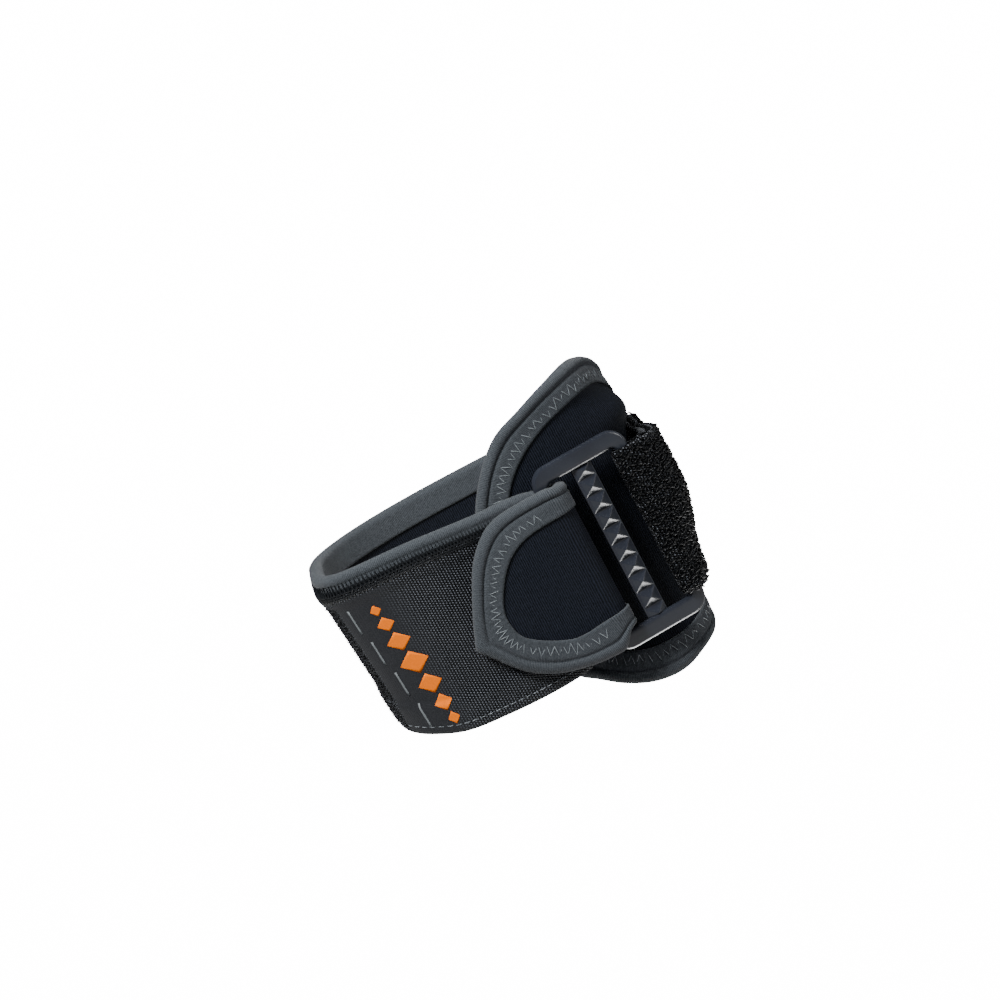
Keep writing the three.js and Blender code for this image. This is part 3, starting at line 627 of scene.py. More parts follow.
def zigzag(run, line, first, last, face, seed):
    end = inset(softened(line, CORNER_WINDOW), TAPE_REACH)
    gone = distances(line)
    turns_at = np.arange(first, last, STITCH_PITCH / 2)
    rng = np.random.default_rng(seed)
    reach = (np.where(np.arange(len(turns_at)) % 2, STITCH_NEAR, STITCH_FAR)
             + rng.normal(0, STITCH_UNEVEN, len(turns_at)))
    sunk = rng.uniform(*STITCH_SUNK, len(turns_at))
    steps = np.linspace(0, len(turns_at) - 1, (len(turns_at) - 1) * 4 + 1)
    at, depth, sink = (np.interp(steps, np.arange(len(turns_at)), row) for row in (turns_at, reach, sunk))
    dip = np.abs(steps - np.round(steps)) * 2
    edge, inner = (on_line(at, gone, side) for side in (line, end))
    spot = edge + (inner - edge) * (depth / TAPE_REACH)[:, None]
    return run.place(spot[:, 0], spot[:, 1], face * (STITCH_LEVEL + STITCH_ARCH * dip + sink))


pad_length = distances(pad_line)[-1]
pad_stitch = threads("pad_stitches", [zigzag(pad_run, pad_line, 2, pad_length - 2, face=1, seed=5)],
                     STITCH_THREAD, thread)
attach(pad_stitch, "root")


# Strap and flap
# The narrower sheet of the same laminate, sewn to the pad at the back. It comes round the left of the
# opening, goes through the buckle's first slot, folds round the bar and ends in a rounded flap.
STRAP_HALF_HEIGHT = 31.5
FLAP_HALF_HEIGHT = 29.5
FLAP_LENGTH = 42.0
FLAP_TIP = -0.298
NECK_LENGTH = 21.7
FACING = 0.7
BUCKLE_PLACE = 21.7
BUCKLE_HALF_THICK = 1.5
FOLD_SLACK = 0.8
OVER_PAD_LEVEL = BAND_LEVEL + BOUND_FACE + GAP + BOUND_FACE
RISE_START = -49
RISE_END = -9
FOLD_RADIUS = BUCKLE_HALF_THICK + FOLD_SLACK + BOUND_FACE
BAR_LEVEL = OVER_PAD_LEVEL + FOLD_RADIUS
FACING_LOW = HALF + GAP
FACING_HIGH = BOUND_FACE + GAP
FLAP_RISE = FACING_HIGH + FACING + GAP + BOUND_FACE
LEFT_END = -2.7
SETTLE_START = 1 - LEFT_END
SETTLE_END = 18 - LEFT_END
SLOT_TOP = 27.3
SLOT_BOTTOM = -25.4
SLOT_PLAY = 0.65
SLOT_EDGE = (SLOT_TOP - SLOT_PLAY, SLOT_BOTTOM + SLOT_PLAY)
STRAP_EDGES = np.array([  # back from the neck, top, bottom
    (0, 0.927, -1.016), (0.1, 0.984, -1.01), (0.17, 0.997, -0.985), (0.225, 1, -0.9), (0.29, 1, -0.8),
    (0.36, 1, -0.72), (0.45, 1, -0.675), (0.66, 0.984, -0.665), (1, 0.984, -0.667)])
NECK_OPENING = [(0.12, 0.2), (0.3, 0.6), (0.54, 0.85)]  # back from the bar, share of the way to the neck
FOLD_OPENING = [(0.2, 0), (0.76, 0), (0.85, 0.3), (0.93, 0.75)]  # along the fold, share to the flap
FLAP_EDGES = np.array([  # along, top, bottom
    (0, 0.929, -0.993), (0.07, 0.932, -1), (0.24, 0.922, -0.99), (0.4, 0.892, -0.96),
    (0.52, 0.83, -0.915), (0.64, 0.695, -0.83), (0.74, 0.525, -0.73), (0.83, 0.288, -0.593),
    (0.905, 0.068, -0.458), (0.965, -0.136, -0.356)])


def strap_level(around):
    risen = smoothstep(np.asarray(around, float) - GIRTH, RISE_START, RISE_END)
    return BAND_LEVEL + (OVER_PAD_LEVEL - BAND_LEVEL) * risen


def flap_stations(around):
    gone = GIRTH + BUCKLE_PLACE - around
    settled = smoothstep(gone, SETTLE_START, SETTLE_END)
    high = BAR_LEVEL + FOLD_RADIUS
    level = high + (strap_level(around) + FLAP_RISE - high) * settled
    points, normals, taper = band_stations(around, level)
    return points, -normals, taper


def fold_stations(centre, normal, radius, steps):
    right = np.array([-normal[1], normal[0]])
    angle = np.pi * np.arange(1, steps) / steps - np.pi / 2
    way = np.cos(angle)[:, None] * right + np.sin(angle)[:, None] * normal
    return centre + way * radius, -way, np.zeros(steps - 1)


def joined(*parts):
    return tuple(np.concatenate(column) for column in zip(*parts))


bar_point, bar_normal = (column[0] for column in band_stations([BUCKLE_PLACE], BAR_LEVEL)[:2])
strap_rounds = np.linspace(SEAM + GAP / 2, GIRTH + BUCKLE_PLACE,
                           int((GIRTH + BUCKLE_PLACE - SEAM) / ROW_STEP))
flap_rounds = strap_rounds[-int(FLAP_LENGTH / ROW_STEP) - 6:][::-1]
strap_run = Run(joined(band_stations(strap_rounds, strap_level(strap_rounds)),
                       fold_stations(bar_point, bar_normal, FOLD_RADIUS, 16),
                       flap_stations(flap_rounds)))
bar_along = strap_run.stops[len(strap_rounds) - 1]
flap_along = strap_run.stops[len(strap_rounds) + 15]
neck_along = bar_along - NECK_LENGTH


def strap_corners(column):
    """Corners of the strap's edge from the seam to the flap, for column 1, the top, or 2, the bottom."""
    neck_height = STRAP_HALF_HEIGHT * STRAP_EDGES[0, column]
    flap_height = FLAP_HALF_HEIGHT * FLAP_EDGES[0, column]
    slot_height = SLOT_EDGE[column - 1]
    rows = [(neck_along * (1 - row[0]), STRAP_HALF_HEIGHT * row[column]) for row in STRAP_EDGES[::-1]]
    rows += [(bar_along - NECK_LENGTH * b, slot_height + (neck_height - slot_height) * o)
             for b, o in NECK_OPENING[::-1]]
    rows += [(bar_along, slot_height)]
    rows += [(bar_along + (flap_along - bar_along) * t, slot_height + (flap_height - slot_height) * o)
             for t, o in FOLD_OPENING]
    return rows + [(flap_along + FLAP_LENGTH * row[0], FLAP_HALF_HEIGHT * row[column]) for row in FLAP_EDGES]


strap_line = edge_line(strap_corners(2) + [(flap_along + FLAP_LENGTH, FLAP_HALF_HEIGHT * FLAP_TIP)]
                       + strap_corners(1)[::-1])
strap = core("strap_sheet", strap_run, strap_line, jersey)
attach(strap, "root")
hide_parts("strap")


# Tape round the strap and flap
# The same grey tape, sewn round both edges of the strap and round the flap's end. It lies flat beneath
# the facing and rolls where it shows.
strap_gone = distances(strap_line)
on_flap = smoothstep(strap_line[:, 0], bar_along, flap_along)
upper_edge = (np.arange(len(strap_line)) > int(np.argmax(strap_line[:, 0]))) * 1.0
strap_roll = np.stack([0.3 * upper_edge * (1 - on_flap), on_flap], 1)
strap_pucker = 0.04 + 0.1 * on_flap
strap_tape = bound_tape("strap_tape", strap_run, strap_line, tape, strap_roll, strap_pucker, seed=7)
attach(strap_tape, "root")
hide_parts("strap_binding")

flap_reach = np.nonzero(strap_line[:, 0] > flap_along + 1)[0]
flap_zigzag = zigzag(strap_run, strap_line, strap_gone[flap_reach[0]], strap_gone[flap_reach[-1]],
                     face=-1, seed=11)
flap_stitch = threads("flap_stitches", [flap_zigzag], STITCH_THREAD, thread)
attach(flap_stitch, "root")


# Facing
# Black loop fabric sewn over the strap's outer face, which the hook under the flap grips. It steps up
# over the tape at both edges and stops short of the tape's roll at the top.
FACING_LAP = 21
FACING_SHORT = 6.3
FACING_COLUMNS = 44
STEP_START = TAPE_REACH + 1.2
STEP_WIDE = 2


def facing_base(height, bottom, top):
    """Level of the facing's inner face, which steps up over the tape at both edges."""
    step_low = 1 - smoothstep(height - bottom, STEP_START, STEP_START + STEP_WIDE)
    step_high = 1 - smoothstep(top - height, STEP_START - FACING_SHORT, STEP_START - FACING_SHORT + STEP_WIDE)
    return FACING_LOW + (FACING_HIGH - FACING_LOW) * np.maximum(step_low, step_high)


def facing_rows():
    lap = np.linspace(SEAM - FACING_LAP, SEAM - GAP / 2, 12)
    on_strap = strap_rounds[strap_rounds < GIRTH + BUCKLE_PLACE - 10]
    rounds = np.concatenate([lap, on_strap])
    run = Run(band_stations(rounds, strap_level(rounds)))
    pad_low, pad_high = span(pad_line, (lap - PAD_TIP) * pad_scale)
    low, high = span(strap_line, strap_run.stops[:len(on_strap)])
    bottom = np.concatenate([pad_low, low]) + GAP
    top = np.concatenate([pad_high, high]) - FACING_SHORT
    height = fanned(bottom, top, FACING_COLUMNS)
    return run, rounds, height, facing_base(height, bottom[:, None], top[:, None])


facing_run, facing_rounds, facing_height, facing_level = facing_rows()


def on_facing(before_front, values):
    """A value given at the facing's stations, at distances left of the front's middle."""
    return np.interp(GIRTH + np.asarray(before_front, float), facing_rounds, values)


def facing_bottom(before_front):
    return on_facing(before_front, facing_height[:, 0])


def facing_top(before_front):
    return on_facing(before_front, facing_height[:, -1])


def facing_spot(before_front, height, above):
    """A point on the facing's face, from its distance left of the front's middle and its height."""
    base = facing_base(height, facing_bottom(before_front), facing_top(before_front))
    return facing_run.place(on_facing(before_front, facing_run.stops), height, base + FACING + above)


rows = np.broadcast_to(facing_run.stops[:, None], facing_height.shape)
rings = wrapped(facing_run.place(rows, facing_height, facing_level + FACING),
                facing_run.place(rows, facing_height, facing_level))
flat = np.stack([rows, facing_height, facing_level], -1)

# Loop knit: rows of tiny loops stand on dark ribs across the strap, at 0.93 mm, so the face looks
# dotted in straight slanting lines. The loops' brightness is a painted highlight: the colour is made
# lighter where the loops rise, besides their bump.
loops, tree = new_material("black nylon loop fabric, warp knitted with raised loops")
place = flat_place(tree)
place_parts = axes(tree, place)
rib_turn = worked(tree, "MULTIPLY", place_parts["X"], 2 * math.pi / 0.93)
half_turn = worked(tree, "MULTIPLY", rib_turn, 0.5)
row_turn = worked(tree, "MULTIPLY_ADD", place_parts["Y"], 2 * math.pi / 0.86, half_turn)
dots = worked(tree, "MULTIPLY_ADD", worked(tree, "SINE", row_turn), 0.75, worked(tree, "SINE", rib_turn))
relief = worked(tree, "MULTIPLY_ADD", noise(tree, place, 1.4, 3.0), 0.6, dots)
# Painted highlight: the loops are coloured lighter where the relief rises.
knitted = mixed(tree, ranged(tree, relief, 0.5, 2.0), "#040506", "#53565c")

# The heat press has flattened the loops round the motif into a smooth charcoal patch, whose edge is
# crisp on the left and fades out to the right.
PRESS_SIDES = (-49.5, -33.0)
PRESS_TOP = 22.4
press_left, press_right = (float(on_facing(edge, facing_run.stops)) for edge in PRESS_SIDES)
left_edge = ranged(tree, place_parts["X"], press_left - 0.4, press_left + 0.4)
right_edge = ranged(tree, place_parts["X"], press_right + 6, press_right - 4)
top_edge = ranged(tree, place_parts["Y"], PRESS_TOP + 1, PRESS_TOP)
pressed = worked(tree, "MULTIPLY", worked(tree, "MULTIPLY", left_edge, right_edge), top_edge)
felted = mixed(tree, noise(tree, place, 2.4), "#0c0d0f", "#28292c")
finished(tree, mixed(tree, pressed, knitted, felted), 0.85, relief,
         strength=ranged(tree, pressed, 0.0, 1.0, 0.9, 0.2), distance=0.00016,
         more={"Specular IOR Level": 0.2, "Sheen Weight": 0.03, "Sheen Roughness": 0.5})

facing = sheet("strap_loop_facing", rings, flat, loops)
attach(facing, "root")
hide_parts("strap_facing")


# Overlock and hem stitches of the facing
# Black thread whips over the facing's upper edge in close slanting stitches, whose ends stand on the
# grey tape like teeth. A grey lockstitch runs along its lower edge in short dashes.
TOOTH_START = -106.0
TOOTH_END = 10.0
TOOTH_STEP = 0.55
TOOTH_OUT = 3.3
TOOTH_IN = -2.0
TOOTH_UNEVEN = 0.16
ON_TAPE = -0.72
ON_FACING = 0.12
DASH_PITCH = 2.5
DASH_LENGTH = 1.6
DASH_FROM_EDGE = 2.7
DASH_LIFT = np.array([-0.08, 0.09, 0.09, -0.08])
overlock_thread = grained("black polyester overlock thread, textured and spun", "#040506", "#131518", 0.7)
hem_thread = grained("grey polyester lockstitch thread, twisted", "#3f4347", "#83888c", 0.6)
rng = np.random.default_rng(21)
tooth = np.arange(TOOTH_START, TOOTH_END, TOOTH_STEP)
outer_turn = np.arange(len(tooth)) % 2
reach = np.where(outer_turn, TOOTH_OUT, TOOTH_IN) + rng.normal(0, TOOTH_UNEVEN, len(tooth))

# Each whip crosses the facing's edge at two points between its turns, so it steps down there.
whip_place = np.repeat(tooth, 3)[1:-1]
whip_place[1::3] = tooth[:-1] + 0.1
whip_place[2::3] = tooth[1:] - 0.1
whip_reach = np.repeat(reach, 3)[1:-1]
whip_reach[1::3] = 0.15
whip_reach[2::3] = 0.15
whip_lift = np.where(whip_reach > 1, ON_TAPE, ON_FACING)
overlock_paths = [facing_spot(whip_place, facing_top(whip_place) + whip_reach, whip_lift)]
for offset in (-1.3, -0.6, 0.4, 0.9, 1.4):
    wander = offset + 0.22 * np.sin(np.pi * tooth / TOOTH_STEP + 4 * offset)
    lift = ON_TAPE + 0.1 if offset > 0 else ON_FACING
    overlock_paths.append(facing_spot(tooth, facing_top(tooth) + wander, lift))
overlock = threads("facing_overlock", overlock_paths, 0.25, overlock_thread)
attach(overlock, "root")
dashes = []
for start in np.arange(-60.0, 9.0, DASH_PITCH):
    spots = np.linspace(start, start + DASH_LENGTH, 4)
    dashes.append(facing_spot(spots, facing_bottom(spots) + DASH_FROM_EDGE, DASH_LIFT))
hem = threads("facing_hem_stitches", dashes, 0.11, hem_thread)
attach(hem, "root")


# Printed motif
# A generic motif pressed on in thin orange film: a column of lozenges that grow and shrink, beside a
# fine grey rule. The film lies on the facing's left side, and has a faint pebble from the cloth below.
MOTIF_SLANT = 0.11
MOTIF_TOP = 18.0
MOTIF_PLACE = -39.0
LOZENGE_GAP = 0.75
LOZENGE_BLUNT = 0.05
RULE_TOP = 19.5
RULE_BOTTOM = -28.5
RULE_DASH = 8.6
RULE_SIDES = (-46.2, -45.6)
FILM_FACE = 0.13
FILM_BACK = 0.01


def film(name, low, high, roughness):
    return grained(name, low, high, roughness, scale=2.2, strength=0.35, specular=0.1, place=flat_place)


def film_patch(columns, material, name):
    """Thin film from columns of (left of front, low height, high height), as one closed sheet each."""
    points, quads, places = [], [], []
    for column in columns:
        height = fanned(column[:, 1], column[:, 2], 7)
        across_film = np.broadcast_to(column[:, :1], height.shape)
        ring = wrapped(*(facing_spot(across_film, height, above) for above in (FILM_FACE, FILM_BACK)))
        start = sum(len(p) for p in points)
        quads += [tuple(start + i for i in quad) for quad in skin(ring)]
        points.append(ring.reshape(-1, 3))
        flat = np.stack([across_film, height, height * 0], -1)
        places.append(wrapped(flat, flat).reshape(-1, 3))
    piece = made(name, np.concatenate(points), quads, np.concatenate(places), material)
    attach(piece, "root")


orange = film("orange polyurethane film, heat pressed on cloth", "#bc5800", "#cc6400", 0.9)
grey_film = film("grey polyurethane film, heat pressed on cloth", "#4d5153", "#6a6e70", 0.6)
lozenges = []
centre_height = MOTIF_TOP
for half_height, half_width in zip((1.9, 2.6, 3.3, 4.0, 3.5, 2.9, 2.2), (1.5, 2.4, 3.4, 4.3, 3.6, 2.7, 1.8)):
    centre_height -= half_height
    u = np.linspace(-1, 1, 13)[:, None]
    tall = half_height * (1 - np.abs(u)) + LOZENGE_BLUNT
    middle_place = MOTIF_PLACE + MOTIF_SLANT * (MOTIF_TOP - centre_height)
    lozenges.append(np.hstack([middle_place + u * half_width, centre_height - tall, centre_height + tall]))
    centre_height -= half_height + LOZENGE_GAP
film_patch(lozenges, orange, "printed_lozenges")
dash_tops = np.linspace(RULE_TOP, RULE_BOTTOM, 5)[:-1] - 0.4
film_patch([np.array([[side + MOTIF_SLANT * (RULE_TOP - top), top - RULE_DASH, top] for side in RULE_SIDES])
            for top in dash_tops], grey_film, "printed_rule")


# Hook patch
# A small block of moulded nylon hooks sewn beneath the flap, hidden when the flap is closed. It holds
# the flap down on the facing's loops.
HOOK_HIGH = FLAP_RISE - FACING_LOW - FACING - GAP
HOOK_START = 5
HOOK_END = 18
HOOK_BOTTOM = -13.0
HOOK_TOP = 10.0
hook_along = np.linspace(flap_along + HOOK_START, flap_along + HOOK_END, 12)
rows, heights = np.meshgrid(hook_along, np.linspace(HOOK_BOTTOM, HOOK_TOP, 20), indexing="ij")
rings = wrapped(strap_run.place(rows, heights, HOOK_HIGH), strap_run.place(rows, heights, FACING_LOW))
flat = np.stack([rows, heights, rows * 0], -1)

# Hook tape: moulded rows of small stiff hooks stand 0.8 mm apart and glint along each row, so the block
# looks combed and harder than the loop fabric. The glint is partly painted: the colour is made lighter
# on the rows' crests, a painted highlight, where the roughness is also lower.
hooks, tree = new_material("black nylon hook tape, moulded in straight rows of hooks")
place_parts = axes(tree, flat_place(tree))
row, beat = wave(tree, place_parts["Y"], 0.8), wave(tree, place_parts["X"], 0.6)
relief = worked(tree, "MULTIPLY_ADD", beat, 0.5, row)
# Painted highlight: the rows' crests are coloured lighter, and also made glossier.
tone = ranged(tree, relief, -1.2, 1.5)
finished(tree, mixed(tree, tone, "#050506", "#2c2e31"),
         ranged(tree, tone, 0.0, 1.0, 0.7, 0.4), relief, strength=0.9, distance=0.0002)

hook = sheet("flap_hook_patch", rings, flat, hooks)
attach(hook, "root")
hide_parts("hook_patch")


# Keeper
# A strip of long pile loop fabric, sewn to the pad's right side, led round the buckle's right bar and
# back on itself. It fans out from the slot's height to the pad.
LOOP_PILE = 2.0
KEEPER_LOW = BAND_LEVEL + BOUND_FACE + GAP + LOOP_PILE / 2
KEEPER_HIGH = KEEPER_LOW + LOOP_PILE + GAP
KEEPER_RADIUS = BUCKLE_HALF_THICK + 0.4 + LOOP_PILE / 2
KEEPER_FOLD = 28.2
KEEPER_END = 96
KEEPER_LEAVES = 72
KEEPER_PULL = 0.38
KEEPER_COLUMNS = 48
PAD_END_HEIGHTS = (-8.5, 25.5)
SLOT_CLEAR = 1.1
FAN = (8, 36)
FREE_RIGHT = (50, 62)
FREE_FRONT = (9, 28)
FREE_BELOW = (-8, 20)
SWELL = 0.7
SWELL_MIDDLE = 8
SWELL_REACH = 17
DRAWN_IN = 4.6
KEEPER_HALF = 0.7
END_BAR = 4.2
BUCKLE_TURN = math.radians(10)
bar_right = np.array([-bar_normal[1], bar_normal[0]])
turn_cos, turn_sin = math.cos(BUCKLE_TURN), math.sin(BUCKLE_TURN)
buckle_right = np.array([[turn_cos, -turn_sin], [turn_sin, turn_cos]]) @ bar_right
buckle_out = np.array([buckle_right[1], -buckle_right[0]])
keeper_fold = bar_point + buckle_right * KEEPER_FOLD


def keeper_layer(level, from_bar):
    """One layer from its sewn end along the pad, then as a free arch to the buckle's right bar."""
    on_pad = band_stations(np.linspace(KEEPER_END, KEEPER_LEAVES, 18), level)
    landing, normal = on_pad[0][-1], on_pad[1][-1]
    leaving = np.array([normal[1], -normal[0]])
    touch = keeper_fold + buckle_out * from_bar
    start = touch + buckle_right * (END_BAR - BUCKLE_HALF_THICK)
    pull = np.linalg.norm(landing - start) * KEEPER_PULL
    knots = [landing, landing + leaving * pull, start + buckle_right * pull, start]
    t = np.linspace(0, 1, 25)[1:, None]
    arch = ((1 - t) ** 3 * knots[0] + 3 * (1 - t) ** 2 * t * knots[1] + 3 * (1 - t) * t ** 2 * knots[2]
            + t ** 3 * knots[3])
    travel = unit(3 * (1 - t) ** 2 * (knots[1] - knots[0]) + 6 * (1 - t) * t * (knots[2] - knots[1])
                  + 3 * t ** 2 * (knots[3] - knots[2]))
    normals = np.stack([-travel[:, 1], travel[:, 0]], 1)
    tapers = on_pad[2][-1] * (1 - t[:, 0])
    return joined(on_pad, (arch, normals, tapers), (touch[None], normals[-1:], np.zeros(1)))


def turned(stations):
    return tuple(column[::-1] * sign for column, sign in zip(stations, (1, -1, 1)))


lower = keeper_layer(KEEPER_LOW, -KEEPER_RADIUS)
upper = turned(keeper_layer(KEEPER_HIGH, KEEPER_RADIUS))
bend = fold_stations(keeper_fold, buckle_out, -KEEPER_RADIUS, 12)
keeper_run = Run(joined(lower, turned(bend), upper))
middle = keeper_run.stops[-1] / 2


def drawn_in(points):
    """The free arch, drawn inward below and swelling a little in the middle."""
    free = smoothstep(points[..., 0], *FREE_RIGHT) * smoothstep(-points[..., 1], *FREE_FRONT)
    below = smoothstep(-points[..., 2], *FREE_BELOW)
    swell = np.clip(1 - ((points[..., 2] - SWELL_MIDDLE) / SWELL_REACH) ** 2, 0, None)
    moved = points.copy()
    moved[..., 0] += free * (SWELL * swell - DRAWN_IN * below)
    return moved


away = smoothstep(np.abs(keeper_run.stops - middle), *FAN)
low = (SLOT_BOTTOM + SLOT_CLEAR) * (1 - away) + PAD_END_HEIGHTS[0] * away
high = (SLOT_TOP - SLOT_CLEAR) * (1 - away) + PAD_END_HEIGHTS[1] * away
height = fanned(low, high, KEEPER_COLUMNS)
rows = np.broadcast_to(keeper_run.stops[:, None], height.shape)
level = KEEPER_HALF * np.clip(np.minimum(height - low[:, None], high[:, None] - height), THIN_EDGE, 1)
rings = drawn_in(wrapped(keeper_run.place(rows, height, level), keeper_run.place(rows, height, -level)))
flat = np.stack([rows, height, level], -1)
keeper = sheet("keeper_strip", rings, flat, loops)
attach(keeper, "root")
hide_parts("keeper")


# Pile of the keeper
# Loose nylon loops stand all over the strip's outer face. Each loop is an arch of one thick glossy thread,
# about a millimetre tall, set at its own angle.
LOOP_LEAN = (0.35, 0.35, 0.7)
LIP_COLUMNS = 6
PAST_BEND = 3
PILE_GROUND = -0.65
LIP_GROUND = 0.6


def pile_tree():
    tree, given = new_tree("loop pile grown on its ground fabric", {
        "Loop radius": "NodeSocketFloat", "Thread radius": "NodeSocketFloat",
        "Least distance": "NodeSocketFloat", "Seed": "NodeSocketInt", "Pile": "NodeSocketMaterial"})
    roots = node(tree, "GeometryNodeDistributePointsOnFaces", {
        "Mesh": given["Geometry"], "Distance Min": given["Least distance"], "Density Max": 3.0e6,
        "Seed": given["Seed"]}, distribute_method="POISSON")
    arch = node(tree, "GeometryNodeCurveArc", {"Resolution": 7, "Radius": given["Loop radius"],
                                               "Sweep Angle": math.pi})
    loop = tube(tree, arch.outputs[0], given["Thread radius"], sides=4)
    stood = node(tree, "GeometryNodeTransform", {"Geometry": loop, "Rotation": (math.pi / 2, 0, 0)})
    twist = node(tree, "FunctionNodeRandomValue", {0: [-lean for lean in LOOP_LEAN], 1: LOOP_LEAN,
                                                   "Seed": given["Seed"]}, data_type="FLOAT_VECTOR")
    angle = node(tree, "FunctionNodeRotateRotation", {
        "Rotation": roots.outputs["Rotation"], "Rotate By": twist.outputs[0]}, rotation_space="LOCAL")
    grow = node(tree, "FunctionNodeRandomValue", {2: 0.8, 3: 1.35, "Seed": given["Seed"]})
    set_out = node(tree, "GeometryNodeInstanceOnPoints", {
        "Points": roots.outputs["Points"], "Instance": stood.outputs[0], "Rotation": angle.outputs[0],
        "Scale": grow.outputs[1]})
    return handed_back(tree, set_out.outputs[0], given["Pile"])


# Pile thread: black glossy filament, near black with small cold glints along each loop.
pile = grained("black nylon pile, textured filament left as loops", "#020203", "#090a0b", 0.5, scale=900.0,
               strength=0.4, distance=0.0001, specular=0.24)
PILE_TREE = pile_tree()


def loop_pile(name, grounds, material, radius, thread_radius, distance, seed):
    """Loops on open grids of points, each grid given with a point that its loops stand away from."""
    points, quads = [], []
    for ground, inside in grounds:
        count, size = ground.shape[:2]
        faces = quads_between(count, size, size - 1, sum(len(p) for p in points))
        r, k = count // 2, size // 2
        normal = np.cross(ground[r, k + 1] - ground[r, k], ground[r + 1, k] - ground[r, k])
        if np.dot(normal, ground[r, k] - inside) < 0:
            faces = [face[::-1] for face in faces]
        quads += faces
        points.append(ground.reshape(-1, 3))
    mesh = bpy.data.meshes.new(name)
    mesh.from_pydata((np.concatenate(points) / 1000).tolist(), [], quads)
    mesh.materials.append(material)
    piece = placed(name, mesh)
    grown(piece, PILE_TREE, {"Loop radius": radius / 1000, "Thread radius": thread_radius / 1000,
                             "Least distance": distance / 1000, "Seed": seed, "Pile": material})
    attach(piece, "root")


def keeper_patch(chosen, first_column, out):
    return drawn_in(keeper_run.place(rows[chosen][:, first_column:], height[chosen][:, first_column:], out))


shown = keeper_run.stops > middle - PAST_BEND
under = keeper_run.stops < middle - PAST_BEND
lip_start = KEEPER_COLUMNS - LIP_COLUMNS
outer_ground = keeper_patch(shown, 0, PILE_GROUND)
upper_lip = keeper_patch(shown, lip_start, LIP_GROUND)
lower_lip = keeper_patch(under, lip_start, LIP_GROUND)
upper_middle, lower_middle = (lip[len(lip) // 2, LIP_COLUMNS // 2] for lip in (upper_lip, lower_lip))
hollow = upper_middle + (upper_middle - lower_middle)
below = lower_middle * 2 - upper_middle
loop_pile("keeper_pile", [(outer_ground, np.array([0, 0, 2.0])), (upper_lip, hollow), (lower_lip, below)],
          pile, radius=0.72, thread_radius=0.27, distance=0.98, seed=4)


# Fuzz of the facing
# Beyond the pressed patch the facing's loops are left raised and coarse where it turns to the back,
# and worn filaments stand off them as stray hairs.
FUZZ_TOP = 20.5
FUZZ_FROM_EDGE = 1.2
fuzz_place = np.linspace(-78, -50.5, 32)[:, None]
fuzz_low = facing_bottom(fuzz_place) + FUZZ_FROM_EDGE
fuzz_height = fuzz_low + (FUZZ_TOP - fuzz_low) * np.linspace(0, 1, 40)[None, :]
fuzz_ground = facing_spot(np.broadcast_to(fuzz_place, fuzz_height.shape), fuzz_height, -0.1)
fuzz_patch = [(fuzz_ground, np.zeros(3))]
stray = grained("stray nylon filaments worn loose from the loops", "#17181a", "#4a4c4f", 0.6)
loop_pile("facing_raised_loops", fuzz_patch, pile, radius=0.33, thread_radius=0.13, distance=0.62, seed=9)
loop_pile("facing_stray_hairs", fuzz_patch, stray, radius=0.75, thread_radius=0.035, distance=1.5, seed=13)


# Buckle
# A three-bar slide moulded in one piece of black nylon, with rounded rails and a row of four-sided studs
# on its middle bar, whose edges the mould leaves slightly rounded.
BUCKLE_MIDDLE = 0.95
HALF_TALL = 32.25
SLOT_HALF = 26.35
RIGHT_END = 30.9
SLOT_SIDES = (1.5, 26.7)
RAIL_CORNER = 6
SLOT_CORNER = 2
RAIL_ROUND = 1.15
STUDS = 10
STUD_PITCH = 5.66
STUD_SHIFT = -0.7
STUD_SIDES = (11.1, 17.9)
STUD_FOOT = -0.5
STUD_TIP = 1.65
STUD_BEVEL = 0.22
BAR_HALF = 26.6
BAR_LEVEL_BACK = -0.95
BAR_SIZE = (6.8, 54.2, 1.1)


def rounded_corners(left, right, half, radius):
    turns = np.radians(np.arange(0, 91, 11.25))
    corners = []
    for cx, cz, start in ((right - radius, half - radius, 0), (left + radius, half - radius, 90),
                          (left + radius, radius - half, 180), (right - radius, radius - half, 270)):
        corners += [(cx + radius * math.cos(t + math.radians(start)),
                     cz + radius * math.sin(t + math.radians(start))) for t in turns]
    return corners


outline_curve = bpy.data.curves.new("buckle_outline", "CURVE")
outline_curve.dimensions = "2D"
outline_curve.fill_mode = "BOTH"
outline_curve.bevel_depth = RAIL_ROUND / 1000
outline_curve.bevel_resolution = 4
outline_curve.extrude = (BUCKLE_HALF_THICK - RAIL_ROUND) / 1000
outline_curve.offset = -RAIL_ROUND / 1000
for corners in (rounded_corners(LEFT_END, RIGHT_END, HALF_TALL, RAIL_CORNER),
                rounded_corners(*SLOT_SIDES, SLOT_HALF, SLOT_CORNER)):
    spline = outline_curve.splines.new("POLY")
    spline.points.add(len(corners) - 1)
    for point, (x, z) in zip(spline.points, corners):
        point.co = (x / 1000, z / 1000, 0, 1)
    spline.use_cyclic_u = True
drawing = placed("buckle_drawing", outline_curve)
bpy.context.view_layer.update()
rails = bpy.data.meshes.new_from_object(drawing.evaluated_get(bpy.context.evaluated_depsgraph_get()))
bpy.data.objects.remove(drawing)

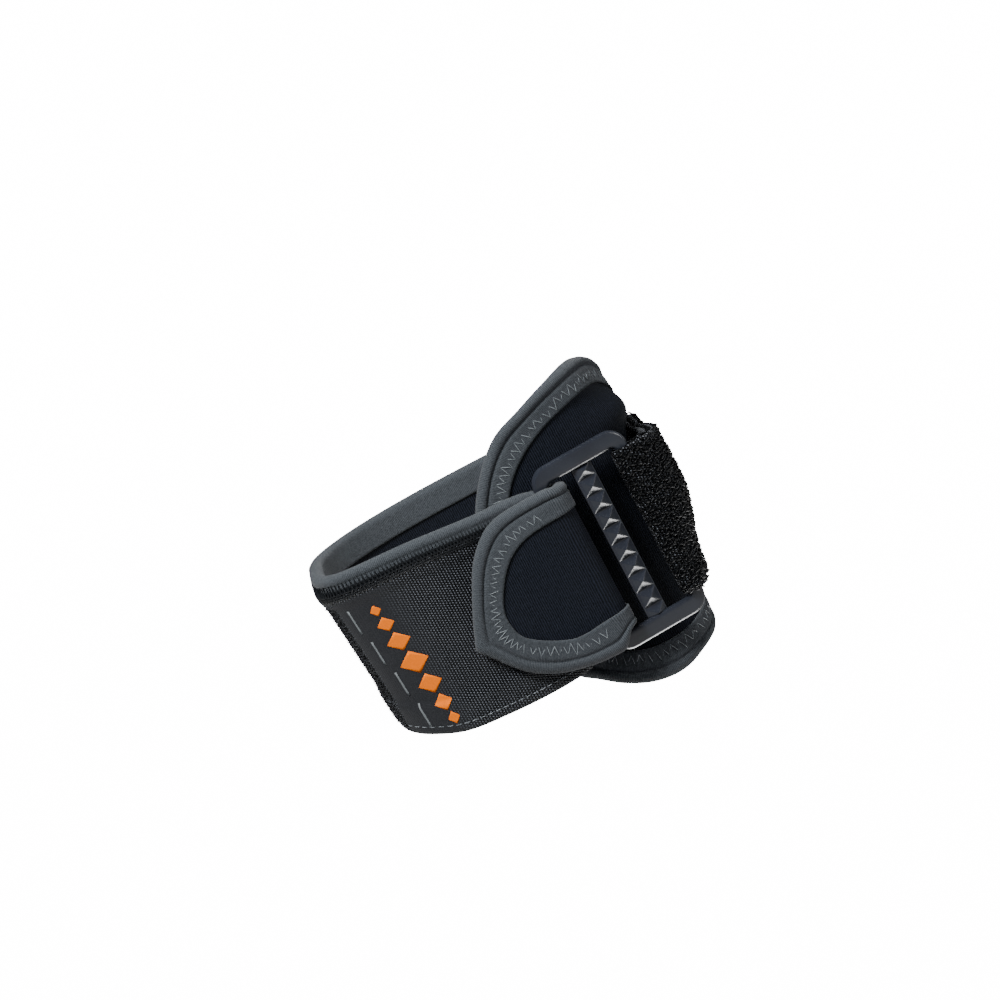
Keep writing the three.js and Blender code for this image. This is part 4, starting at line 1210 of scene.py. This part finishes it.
form = bmesh.new()
form.from_mesh(rails)
bmesh.ops.remove_doubles(form, verts=form.verts, dist=1e-6)
for face in form.faces:
    face.smooth = True
left, right = STUD_SIDES
stud_middle = (left + right) / 2000
bar_scale = Matrix.Diagonal((*(size / 1000 for size in BAR_SIZE), 1))
bmesh.ops.create_cube(form, size=1,
                      matrix=Matrix.Translation((stud_middle, 0, BAR_LEVEL_BACK / 1000)) @ bar_scale)
for i in range(STUDS):
    stud_height = (i - (STUDS - 1) / 2) * STUD_PITCH + STUD_SHIFT
    low, high = max(stud_height - STUD_PITCH / 2, -BAR_HALF), min(stud_height + STUD_PITCH / 2, BAR_HALF)
    base = [form.verts.new((x / 1000, z / 1000, STUD_FOOT / 1000)) for x, z in
            ((left, low), (right, low), (right, high), (left, high))]
    tip = form.verts.new((stud_middle, stud_height / 1000, STUD_TIP / 1000))
    for k in range(4):
        form.faces.new((base[k], base[(k + 1) % 4], tip))
    form.faces.new(base[::-1])
    bmesh.ops.bevel(form, geom=list(tip.link_edges), offset=STUD_BEVEL / 1000, segments=2, affect="EDGES",
                    profile=0.6)
bmesh.ops.recalc_face_normals(form, faces=form.faces)
form.transform(Matrix(((buckle_right[0], 0, buckle_out[0], bar_point[0] / 1000),
                       (buckle_right[1], 0, buckle_out[1], bar_point[1] / 1000),
                       (0, 1, 0, BUCKLE_MIDDLE / 1000), (0, 0, 0, 1))))
bmesh.ops.recalc_face_normals(form, faces=form.faces)
buckle_mesh = bpy.data.meshes.new("three_bar_buckle")
form.to_mesh(buckle_mesh)
form.free()
slide = placed("three_bar_buckle", buckle_mesh)

# Moulded nylon: satin black with a fine spark texture, which blurs the softboxes into grey bands along
# the rails and leaves bright lines on the studs' edges.
moulded, tree = new_material("black nylon, injection moulded with a fine spark texture")
place = own_place(tree)
flow = noise(tree, place, 90.0)
spark = noise(tree, place, 2500.0, 3.0)
finished(tree, mixed(tree, flow, "#13151a", "#21242b"), ranged(tree, flow, 0.0, 1.0, 0.26, 0.36), spark,
         strength=0.25, distance=0.00005)
buckle_mesh.materials.append(moulded)
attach(slide, "root")
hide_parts("buckle")

low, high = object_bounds()
